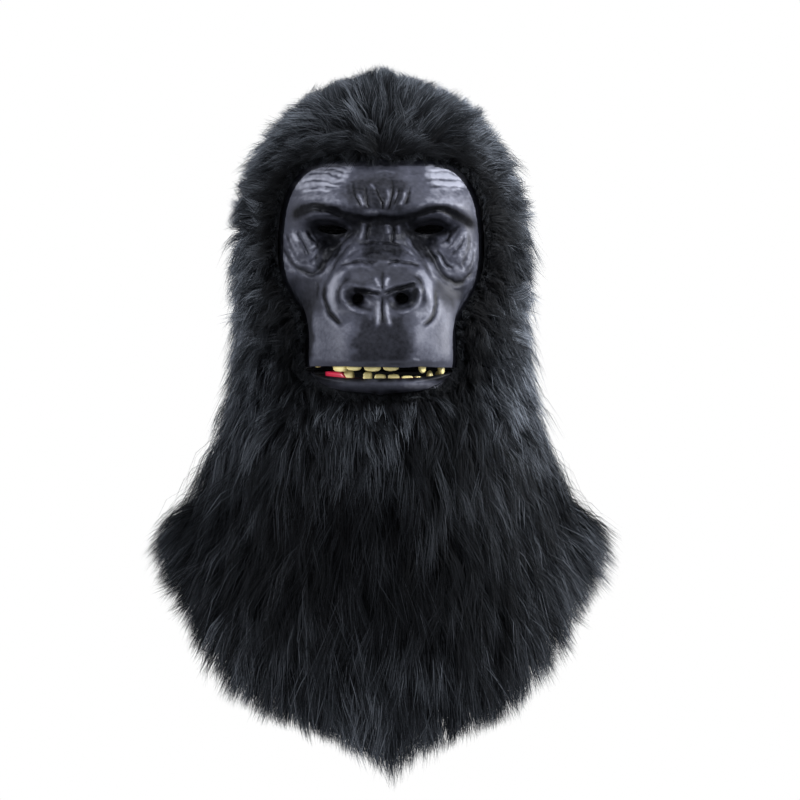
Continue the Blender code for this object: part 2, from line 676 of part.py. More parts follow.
def make_face(collection):
    """The moulded face with its eye slits and nostrils cut through."""

    def place(c, r):
        t = -1.0 if r == 0 else (r - 1) / (FACE_ROWS - 1)
        return face_point(column_stop(c), t)

    obj = moulded_shell("face_shell", FACE_COLUMNS, FACE_ROWS, place)
    holes = (
        dict(name="eye", spacing=EYE_SPACING, drop=EYE_DROP, width=EYE_WIDTH, height=EYE_HEIGHT),
        dict(name="nostril", spacing=NOSTRIL_SPACING, drop=NOSTRIL_DROP, width=NOSTRIL_WIDTH, height=NOSTRIL_HEIGHT),
    )
    for hole in holes:
        for side, sign in (("left", 1), ("right", -1)):
            cut(obj, hole_cutter(hole["name"] + "_cutter_" + side, sign, hole, collection))
    return paint(obj, "face_shell", (0.075, 0.080, 0.100), 0.42)


def make_jaw():
    """The moulded lower lip and chin."""

    def place(c, r):
        return jaw_point(column_stop(c), r / JAW_ROWS)

    obj = moulded_shell("jaw_shell", FACE_COLUMNS, JAW_ROWS, place)
    return paint(obj, "jaw_shell", (0.085, 0.090, 0.110), 0.42)


def lip_line(jaw, x, inset):
    """A point on a lip's curve seen from above, moved this far into the mouth."""
    surface, t = (face_point, 0.985) if jaw == "upper" else (jaw_point, 0.1)
    low, high = 0.0, SECTION_STOPS[3]
    for _ in range(20):
        s = (low + high) / 2
        if surface(s, t).x < abs(x):
            low = s
        else:
            high = s
    here, there = surface(low, t), surface(low + 0.01, t)
    along = Vector((there.x - here.x, there.y - here.y, 0)).normalized()
    point = Vector((here.x, here.y, 0)) + Vector((-along.y, along.x, 0)) * inset
    return Vector((-point.x if x < 0 else point.x, point.y, 0))


def gum_seat(jaw, x):
    """The height of the gum's face that the teeth stand on, at this distance from the middle."""
    if jaw == "upper":
        return CLOTH - LIP_DROP - GUM_COVER[jaw]
    return CLOTH - LIP_DROP - MOUTH_GAP - GUM_COVER[jaw] + corner_rise(x)


def make_gum(jaw, colour, collection):
    """An arch of gum that follows the lip inside the shell."""
    reach, inset = GUM_REACH[jaw] * HALF_MUZZLE, GUM_INSET[jaw]

    def place(c, r):
        x = reach * (2 * c / GUM_STATIONS - 1)
        front = lip_line(jaw, x, inset)
        point = front if r == 0 else lip_line(jaw, x, inset + GUM_WIDTH)
        return Vector((point.x, point.y, gum_seat(jaw, front.x)))

    bm = bmesh.new()
    sheet(bm, GUM_STATIONS, 1, place)
    thick = bmesh.ops.extrude_face_region(bm, geom=bm.faces[:])["geom"]
    moved = [part for part in thick if isinstance(part, bmesh.types.BMVert)]
    rise = GUM_HEIGHT[jaw] if jaw == "upper" else -GUM_HEIGHT[jaw]
    bmesh.ops.translate(bm, verts=moved, vec=(0, 0, rise))
    gum = new_mesh(jaw + "_gum", bm)
    collection.objects.link(gum)
    paint(gum, jaw + "_gum", colour, 0.35)


def make_tooth(row, jaw, collection):
    """One tooth: a block with bevelled edges, narrower at its tip and back, that stands on the gum."""
    way = -1 if jaw == "upper" else 1
    inset = GUM_INSET[jaw] + (UNDERBITE if jaw == "lower" else 0.0)
    half = row["width"] * HALF_MUZZLE / 2
    x = row["x"] * HALF_MUZZLE
    left, right = (lip_line(jaw, x + side * half, inset) for side in (-1, 1))
    across = right - left
    width = across.length - 2 * TOOTH_GAP
    along = across.normalized()
    middle = (left + right) / 2 + Vector((-along.y, along.x, 0)) * (TOOTH_DEPTH / 2)
    seat = gum_seat(jaw, max(abs(left.x), abs(right.x))) + way * TOOTH_GAP
    length = row["length"] * MOUTH_GAP + abs(GUM_COVER[jaw])
    bm = bmesh.new()
    bmesh.ops.create_cube(bm, size=1.0)
    for vert in bm.verts:
        narrow = (TIP_SHARE if vert.co.z * way > 0 else 1.0) * (BACK_SHARE if vert.co.y > 0 else 1.0)
        vert.co = Vector((vert.co.x * width * narrow, vert.co.y * TOOTH_DEPTH, vert.co.z * length))
    tooth = new_mesh(row["name"], bm)
    tooth.location = (middle.x, middle.y, seat + way * length / 2)
    tooth.rotation_euler = (0, 0, math.atan2(along.y, along.x))
    soft = tooth.modifiers.new("soft_edges", "BEVEL")
    soft.width = TOOTH_EDGE
    soft.segments = 1
    collection.objects.link(tooth)
    paint(tooth, row["name"], (0.72, 0.62, 0.33), 0.30)


def make_mouth(collection):
    """The gums, and every tooth on its own gum."""
    make_gum("upper", (0.05, 0.02, 0.02), collection)
    make_gum("lower", (0.42, 0.02, 0.05), collection)
    for row in UPPER_TEETH:
        make_tooth(row, "upper", collection)
    for row in LOWER_TEETH:
        make_tooth(row, "lower", collection)


def main():
    for obj in list(bpy.data.objects):
        bpy.data.objects.remove(obj)
    mask = bpy.data.collections.new("gorilla_mask")
    cutters = bpy.data.collections.new("cutters")
    for collection in (mask, cutters):
        bpy.context.scene.collection.children.link(collection)
    opening = opening_cutter(cutters)
    above, below = seam_shift()
    made = [
        make_cloth("hood", 0.0, 1.0 - above, opening),
        make_cloth("cape", 1.0 + below, 2.0, opening),
        make_hood_fur(opening),
        make_cape_fur(opening),
        make_face(cutters),
        make_jaw(),
    ]
    for obj in made:
        mask.objects.link(obj)
    make_mouth(mask)
    for cutter in cutters.objects:
        cutter.hide_render = True
        cutter.display_type = "WIRE"


main()
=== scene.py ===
# %% [markdown]
# # A gorilla mask, dressed from its plain solids
#
# The mask is a moulded face in a plush hood that runs down into a shoulder cape. The plain solids
# give the sizes. This script keeps the two cloths, and puts a finely modelled face, rounded teeth
# and hair made strand by strand in the place of the rest. Units are metres, and the face looks
# along -Y.

# %% Modules and the frame
import json
import math

import bpy
import numpy as np
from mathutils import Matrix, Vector

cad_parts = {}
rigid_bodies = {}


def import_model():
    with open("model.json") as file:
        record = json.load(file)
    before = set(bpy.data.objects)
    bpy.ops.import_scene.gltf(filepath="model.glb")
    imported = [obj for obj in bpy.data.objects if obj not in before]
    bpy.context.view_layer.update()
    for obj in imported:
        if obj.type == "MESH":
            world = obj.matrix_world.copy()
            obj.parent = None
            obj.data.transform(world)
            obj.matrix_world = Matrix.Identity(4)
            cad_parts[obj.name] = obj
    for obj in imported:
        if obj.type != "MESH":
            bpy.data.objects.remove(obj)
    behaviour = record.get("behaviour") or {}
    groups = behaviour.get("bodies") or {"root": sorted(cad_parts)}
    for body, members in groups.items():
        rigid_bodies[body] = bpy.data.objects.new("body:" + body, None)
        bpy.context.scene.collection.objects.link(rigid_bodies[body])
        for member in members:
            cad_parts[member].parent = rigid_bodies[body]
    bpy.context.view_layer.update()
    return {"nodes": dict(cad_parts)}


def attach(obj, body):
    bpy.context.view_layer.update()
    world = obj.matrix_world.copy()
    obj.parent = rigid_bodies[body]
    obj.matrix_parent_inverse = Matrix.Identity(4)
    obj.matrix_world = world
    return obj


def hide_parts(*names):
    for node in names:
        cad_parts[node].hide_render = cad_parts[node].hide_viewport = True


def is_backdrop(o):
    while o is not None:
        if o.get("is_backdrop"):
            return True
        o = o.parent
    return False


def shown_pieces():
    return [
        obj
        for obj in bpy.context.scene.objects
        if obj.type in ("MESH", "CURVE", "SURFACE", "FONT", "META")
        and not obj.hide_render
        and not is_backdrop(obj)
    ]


for old in list(bpy.data.objects):
    bpy.data.objects.remove(old)
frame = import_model()
MM = 0.001

# %% [markdown]
# ## The cloth as a formula
#
# Hood and cape are one surface round the head. `turn` is the angle round it, 0 at the front and
# growing towards +X. `along` runs down it: 0 at the crown, 1 at the neck seam, 2 at the hem. The
# same tables as in the solids shape it, so what grows on it or tucks under it fits them.

# %% Sizes and tables of the cloth
HOOD_WIDTH, HOOD_FRONT, HOOD_BACK, HOOD_HEIGHT = 0.190, 0.104, 0.108, 0.225
SHOULDER_WIDTH, CHEST_REACH, BACK_REACH = 0.313, 0.116, 0.112
SIDE_DROP, FRONT_DROP, BACK_DROP = 0.355, 0.508, 0.430
HEM_SOFTNESS, CLOTH, TUCK_GAP = 0.16, 0.002, 0.0022
HOOD = np.array([  # along, down, wide, front, back
    (0.00, 0.000, 0.00, 0.00, 0.00), (0.08, 0.022, 0.23, 0.30, 0.29), (0.16, 0.071, 0.44, 0.56, 0.555),
    (0.24, 0.133, 0.63, 0.73, 0.74), (0.32, 0.200, 0.78, 0.845, 0.86), (0.40, 0.267, 0.875, 0.92, 0.935),
    (0.48, 0.338, 0.945, 0.965, 0.98), (0.58, 0.430, 0.99, 0.99, 1.00), (0.70, 0.560, 1.00, 1.00, 0.985),
    (0.80, 0.700, 1.00, 0.98, 0.925), (0.90, 0.850, 0.99, 0.985, 0.84), (1.00, 1.000, 0.99, 1.085, 0.77),
]).T
CAPE = np.array([  # along, down, wide, front, back
    (1.00, 0.00, 0.00, 0.00, 0.00), (1.06, 0.06, 0.02, 1.60, 0.06), (1.15, 0.15, 0.11, 3.00, 0.22),
    (1.28, 0.28, 0.20, 3.00, 0.42), (1.50, 0.50, 0.33, 1.70, 0.72), (1.75, 0.75, 0.54, 1.00, 0.92),
    (1.90, 0.90, 0.80, 1.00, 0.98), (2.00, 1.00, 1.00, 1.00, 1.00),
]).T


def smooth(knots, values, at):
    """The smooth curve through the values at the knots, read at every place of `at`.

    Between two knots it is the cubic whose ends have the neighbours' mean slope. `values` may hold
    several curves, one a row, and the answer then has a row for each.
    """
    knots, values = np.asarray(knots, float), np.asarray(values, float)
    at = np.clip(np.asarray(at, float), knots[0], knots[-1])
    step = np.clip(np.searchsorted(knots, at, side="right") - 1, 0, len(knots) - 2)
    low = np.maximum(np.arange(len(knots)) - 1, 0)
    high = np.minimum(np.arange(len(knots)) + 1, len(knots) - 1)
    slope = (values[..., high] - values[..., low]) / (knots[high] - knots[low])
    span = knots[step + 1] - knots[step]
    t = (at - knots[step]) / span
    ease = t * t * (3 - 2 * t)
    return (
        values[..., step] * (1 - ease)
        + values[..., step + 1] * ease
        + slope[..., step] * (span * t * (1 - t) ** 2)
        - slope[..., step + 1] * (span * t * t * (1 - t))
    )


def fade(value):
    """0 below 0, 1 above 1 and a soft step between."""
    t = np.clip(value, 0, 1)
    return t * t * (3 - 2 * t)


def cloth(turn, along):
    """Points on the outside of the cloth.

    Each ring is an oval: x = half * sin(turn) and y = -reach * cos(turn), with its own reach in
    front and behind. Down the cape the ring's front, side and back drop by different amounts.
    """
    turn, along = np.broadcast_arrays(np.asarray(turn, float), np.asarray(along, float))
    hood = np.minimum(along, 1.0)
    down = HOOD_HEIGHT * smooth(HOOD[0], HOOD[1], hood)
    half = HOOD_WIDTH / 2 * smooth(HOOD[0], HOOD[2], hood)
    front = HOOD_FRONT * smooth(HOOD[0], HOOD[3], hood)
    back = HOOD_BACK * smooth(HOOD[0], HOOD[4], hood)
    far = np.maximum(along, 1.0)
    part = {name: smooth(CAPE[0], CAPE[k], far) for k, name in enumerate(("down", "wide", "front", "back"), 1)}
    half = half + (SHOULDER_WIDTH / 2 - half) * part["wide"]
    front = front + (CHEST_REACH - front) * part["front"]
    back = back + (BACK_REACH - back) * part["back"]
    ends = {name: down + (drop - down) * part["down"]
            for name, drop in (("front", FRONT_DROP), ("side", SIDE_DROP), ("back", BACK_DROP))}
    ahead, aside = np.cos(turn), np.sin(turn)
    hang = (np.hypot(ahead, HEM_SOFTNESS) - HEM_SOFTNESS) / (math.hypot(1, HEM_SOFTNESS) - HEM_SOFTNESS)
    reach = np.where(ahead > 0, front, back)
    end = np.where(ahead > 0, ends["front"], ends["back"])
    drop = ends["side"] + (end - ends["side"]) * hang
    return np.stack([half * aside, -reach * ahead, CLOTH - drop], -1)


def unit(v):
    return v / np.maximum(np.linalg.norm(v, axis=-1, keepdims=True), 1e-12)


def cloth_slopes(turn, along, step=0.004):
    """The cloth's own directions at each point: across it, down it and straight out of it."""
    inner = np.clip(along, step, 2.0 - step)
    across = cloth(turn + step, inner) - cloth(turn - step, inner)
    down = cloth(turn, inner + step) - cloth(turn, inner - step)
    return across / (2 * step), down / (2 * step), unit(np.cross(down, across))


def above_cloth(turn, along, height):
    """Points this far out of the cloth. By the neck seam both panels lean the same way."""
    lean = np.where(np.abs(along - 1.0) < 0.01, 1.0, along)
    return cloth(turn, along) + cloth_slopes(turn, lean)[2] * np.asarray(height)[..., None]


def seen_on_cloth(x, z):
    """The turn and the place down the cloth that show at x and z from the front, by halving."""
    low, high = np.zeros(np.shape(x)), np.full(np.shape(x), 2.0)
    for _ in range(20):
        along = (low + high) / 2
        half = np.maximum(cloth(np.pi / 2, along)[..., 0], 1e-6)
        turn = np.arcsin(np.clip(x / half, -1, 1))
        above = cloth(turn, along)[..., 2] > z
        low, high = np.where(above, along, low), np.where(above, high, along)
    return turn, (low + high) / 2


def under_cloth(turn, along):
    return above_cloth(turn, along, np.full(np.shape(along), -(CLOTH + TUCK_GAP)))


def seen_under_cloth(x, z):
    """The same for what is tucked behind the cloth."""
    aim_x, aim_z = np.array(x, float), np.array(z, float)
    for _ in range(4):
        turn, along = seen_on_cloth(aim_x, aim_z)
        found = under_cloth(turn, along)
        aim_x, aim_z = aim_x + x - found[..., 0], aim_z + z - found[..., 2]
    return turn, along


print("crown", cloth(0.0, 0.0).round(4), "bib", cloth(0.0, 2.0).round(4))

# %% [markdown]
# ## Small helpers
#
# A piece is made from arrays of points and faces in one call. A grid joins its rows of points with
# square faces, and a ring grid also joins its last column to its first.

# %% Making meshes


def object_from(name, points, faces, smooth_faces=True):
    """One named object from an array of points and a list of arrays of faces."""
    mesh = bpy.data.meshes.new(name)
    faces = [np.asarray(f, np.int32) for f in faces if len(f)]
    corners = np.concatenate([f.reshape(-1) for f in faces])
    sizes = np.concatenate([np.full(len(f), f.shape[1], np.int32) for f in faces])
    mesh.vertices.add(len(points))
    mesh.vertices.foreach_set("co", np.asarray(points, np.float32).reshape(-1))
    mesh.loops.add(len(corners))
    mesh.loops.foreach_set("vertex_index", corners)
    mesh.polygons.add(len(sizes))
    starts = np.concatenate([[0], np.cumsum(sizes)[:-1]]).astype(np.int32)
    mesh.polygons.foreach_set("loop_start", starts)
    mesh.polygons.foreach_set("use_smooth", np.full(len(sizes), smooth_faces))
    mesh.update(calc_edges=True)
    mesh.validate()
    obj = bpy.data.objects.new(name, mesh)
    bpy.context.scene.collection.objects.link(obj)
    return obj


def grid_faces(rows, columns, ring=False, start=0):
    """Square faces of a grid whose points are stored row after row."""
    index = start + np.arange(rows * columns).reshape(rows, columns)
    if ring:
        index = np.concatenate([index, index[:, :1]], 1)
    return np.stack([index[:-1, :-1], index[1:, :-1], index[1:, 1:], index[:-1, 1:]], -1).reshape(-1, 4)


def attribute(obj, name, values):
    """Stores one number per point under this name."""
    made = obj.data.attributes.new(name, "FLOAT", "POINT")
    made.data.foreach_set("value", np.asarray(values, np.float32).reshape(-1))


def face_count(obj):
    return sum(len(p.vertices) - 2 for p in obj.data.polygons)


def noise(x, z, size, seed):
    """Smooth noise from -1 to 1 with lumps of this size: hashed values on a lattice, blended."""
    gx, gz = np.asarray(x) / size, np.asarray(z) / size
    ix, iz = np.floor(gx).astype(np.int64), np.floor(gz).astype(np.int64)
    fx, fz = fade(gx - ix), fade(gz - iz)

    def value(i, j):
        h = (i * 374761393 + j * 668265263 + seed * 974634777) & 0xFFFFFFFF
        h = ((h ^ (h >> 13)) * 1274126177) & 0xFFFFFFFF
        return ((h ^ (h >> 16)) & 0xFFFF) / 32767.5 - 1

    top = value(ix, iz) * (1 - fx) + value(ix + 1, iz) * fx
    bottom = value(ix, iz + 1) * (1 - fx) + value(ix + 1, iz + 1) * fx
    return top * (1 - fz) + bottom * fz


# %% [markdown]
# ## Materials from small sums
#
# A `Wire` is a socket that can be added, multiplied and compared like a number, so that a shader
# reads as a formula.

# %% The wire and the shader


class Wire:
    """An output socket of a shader tree, with arithmetic."""

    def __init__(self, tree, socket):
        self.tree, self.socket = tree, socket

    def math(self, operation, *others, clamp=False):
        node = self.tree.nodes.new("ShaderNodeMath")
        node.operation, node.use_clamp = operation, clamp
        for slot, value in zip(node.inputs, others):
            if isinstance(value, Wire):
                self.tree.links.new(value.socket, slot)
            else:
                slot.default_value = value
        return Wire(self.tree, node.outputs[0])

    def __add__(self, other):
        return self.math("ADD", self, other)

    def __mul__(self, other):
        return self.math("MULTIPLY", self, other)

    def __sub__(self, other):
        return self.math("SUBTRACT", self, other)

    def __rsub__(self, other):
        return self.math("SUBTRACT", other, self)

    def __truediv__(self, other):
        return self.math("DIVIDE", self, other)

    def __pow__(self, other):
        return self.math("POWER", self, other)

    __radd__, __rmul__ = __add__, __mul__

    def clip(self):
        return self.math("ADD", self, 0.0, clamp=True)

    def step(self, low, high):
        """0 below low, 1 above high, soft between."""
        node = self.tree.nodes.new("ShaderNodeMapRange")
        node.interpolation_type = "SMOOTHSTEP"
        self.tree.links.new(self.socket, node.inputs["Value"])
        node.inputs["From Min"].default_value, node.inputs["From Max"].default_value = low, high
        return Wire(self.tree, node.outputs["Result"])


class Shader:
    """A Principled material and the nodes that feed it."""

    def __init__(self, name, **constants):
        self.material = bpy.data.materials.new(name)
        self.material.use_nodes = True
        self.tree = self.material.node_tree
        self.main = self.tree.nodes["Principled BSDF"]
        for key, value in constants.items():
            self.main.inputs[key.replace("_", " ")].default_value = value

    def node(self, kind, output=0, settings=None, **inputs):
        """Any node: its type, its settings, and values or wires for its inputs."""
        made = self.tree.nodes.new("ShaderNode" + kind)
        for key, value in (settings or {}).items():
            setattr(made, key, value)
        for key, value in inputs.items():
            socket = made.inputs[int(key[1:]) if key[0] == "_" else key.replace("_", " ")]
            if isinstance(value, Wire):
                self.tree.links.new(value.socket, socket)
            else:
                socket.default_value = value
        return Wire(self.tree, made.outputs[output])

    def attribute(self, name):
        return self.node("Attribute", output="Fac", settings={"attribute_name": name})

    def object_place(self):
        return self.node("TexCoord", output="Object")

    def noise(self, scale, place=None, detail=3.0, roughness=0.5):
        place = place or self.object_place()
        return self.node("TexNoise", Vector=place, Scale=scale, Detail=detail, Roughness=roughness)

    def stretched(self, x, y, z):
        return self.node("Mapping", settings={"vector_type": "POINT"}, Vector=self.object_place(), Scale=(x, y, z))

    def colour(self, share, first, second):
        """A colour between two, by a share from 0 to 1. Each may be a wire."""
        made = self.tree.nodes.new("ShaderNodeMix")
        made.data_type = "RGBA"
        made.clamp_factor = True
        sockets = (made.inputs[0], made.inputs[6], made.inputs[7])
        for socket, value in zip(sockets, (share, first, second)):
            if isinstance(value, Wire):
                self.tree.links.new(value.socket, socket)
            else:
                socket.default_value = value if np.isscalar(value) else (*value, 1.0)
        return Wire(self.tree, made.outputs[2])

    def feed(self, **wires):
        for key, wire in wires.items():
            self.tree.links.new(wire.socket, self.main.inputs[key.replace("_", " ")])

    def bump(self, height, distance, strength=1.0):
        node = self.tree.nodes.new("ShaderNodeBump")
        node.inputs["Distance"].default_value = distance
        node.inputs["Strength"].default_value = strength
        self.tree.links.new(height.socket, node.inputs["Height"])
        self.tree.links.new(node.outputs["Normal"], self.main.inputs["Normal"])


# %% [markdown]
# ## The face
#
# A mask face is cast soft in a mould and painted. The casting is a relief: seen from the front each
# point has one depth. So it is made as a grid that fills the face's outline, with its depth from
# three layers: the broad form from the same sections as the solids, swellings, and strokes. A
# stroke is a line drawn on the face in millimetres, along which the skin is pushed in or out.

# %% Sizes and sections of the face
FACE_WIDTH, MUZZLE_WIDTH, MUZZLE_REACH = 0.165, 0.122, 0.042
FACE_TOP, FACE_HEIGHT, JAW_HEIGHT, MOUTH_GAP = 0.057, 0.168, 0.024, 0.008
SHELL_WALL, TUCK, RIM_CLEARANCE, RIM_TUCK = 0.0025, 0.008, 0.0015, 0.0045
HALF_FACE, HALF_MUZZLE = FACE_WIDTH / 2, MUZZLE_WIDTH / 2
STOPS = (0.0, 0.24, 0.48, 0.73, 0.93, 1.0)
OPENING = np.array([  # down, face, muzzle
    (0.000, 0.00, 0.00), (-0.006, 0.36, 0.00), (0.006, 0.63, 0.00), (0.052, 0.80, 0.00), (0.135, 0.92, 0.00),
    (0.240, 0.98, 0.00), (0.370, 1.00, 0.00), (0.475, 0.97, 0.00), (0.550, 0.55, 0.46), (0.625, 0.10, 0.93),
    (0.720, 0.00, 1.00), (0.830, 0.00, 1.00), (0.890, 0.00, 0.98), (0.925, 0.00, 0.90), (0.960, 0.00, 0.74),
    (0.985, 0.00, 0.50), (1.000, 0.00, 0.00),
]).T
FACE = np.array([  # down, face, muzzle, y0, x1, y1, x2, y2, x3, y3
    (0.000, 0.74, 0.00, -0.31, 0.35, -0.31, 0.65, -0.48, 0.88, -0.76),
    (0.083, 0.90, 0.00, -0.02, 0.33, -0.02, 0.63, -0.24, 0.86, -0.64),
    (0.155, 0.96, 0.00, 0.17, 0.33, 0.21, 0.62, 0.02, 0.86, -0.48),
    (0.214, 0.98, 0.00, 0.21, 0.33, 0.33, 0.62, 0.17, 0.86, -0.38),
    (0.268, 1.00, 0.00, 0.10, 0.30, 0.19, 0.60, 0.02, 0.86, -0.43),
    (0.321, 1.00, 0.00, 0.03, 0.22, -0.02, 0.52, -0.29, 0.84, -0.57),
    (0.393, 1.00, 0.00, 0.12, 0.22, 0.00, 0.54, -0.36, 0.84, -0.58),
    (0.476, 1.00, 0.00, 0.38, 0.30, 0.19, 0.55, -0.29, 0.84, -0.60),
    (0.554, 0.98, 0.00, 0.67, 0.36, 0.48, 0.56, -0.14, 0.84, -0.67),
    (0.631, 0.60, 0.42, 0.84, 0.42, 0.64, 0.64, 0.02, 0.86, -0.72),
    (0.714, 0.12, 0.92, 0.80, 0.48, 0.62, 0.80, 0.08, 0.95, -0.55),
    (0.798, 0.00, 1.00, 0.88, 0.50, 0.78, 0.86, 0.28, 0.985, -0.36),
    (0.893, 0.00, 1.00, 1.00, 0.50, 0.88, 0.88, 0.36, 0.99, -0.34),
    (0.964, 0.00, 1.00, 1.00, 0.50, 0.88, 0.88, 0.36, 0.99, -0.34),
    (1.000, 0.00, 0.985, 0.90, 0.50, 0.78, 0.88, 0.26, 0.99, -0.36),
]).T
JAW = np.array([
    (0.00, 0, 0.965, 0.76, 0.50, 0.64, 0.88, 0.15, 0.985, -0.26),
    (0.22, 0, 0.965, 0.86, 0.50, 0.74, 0.88, 0.22, 0.985, -0.24),
    (0.50, 0, 0.965, 0.82, 0.50, 0.70, 0.87, 0.18, 0.985, -0.24),
    (0.75, 0, 0.965, 0.66, 0.50, 0.54, 0.86, 0.10, 0.985, -0.26),
    (1.00, 0, 0.965, 0.42, 0.50, 0.30, 0.85, -0.04, 0.985, -0.30),
]).T
# Swellings: place and half size in shares of the half face, and the push in shares of MUZZLE_REACH
SWELLS = (  # x, z, wide, high, push
    (0.47, 0.335, 0.24, 0.060, -0.26), (0.62, 0.215, 0.30, 0.045, 0.08), (0.76, 0.450, 0.20, 0.090, 0.10),
    (0.34, 0.610, 0.15, 0.075, 0.16), (0.00, 0.610, 0.16, 0.045, 0.08), (0.21, 0.665, 0.085, 0.032, -0.24),
    (0.36, 0.860, 0.26, 0.090, 0.05),
)
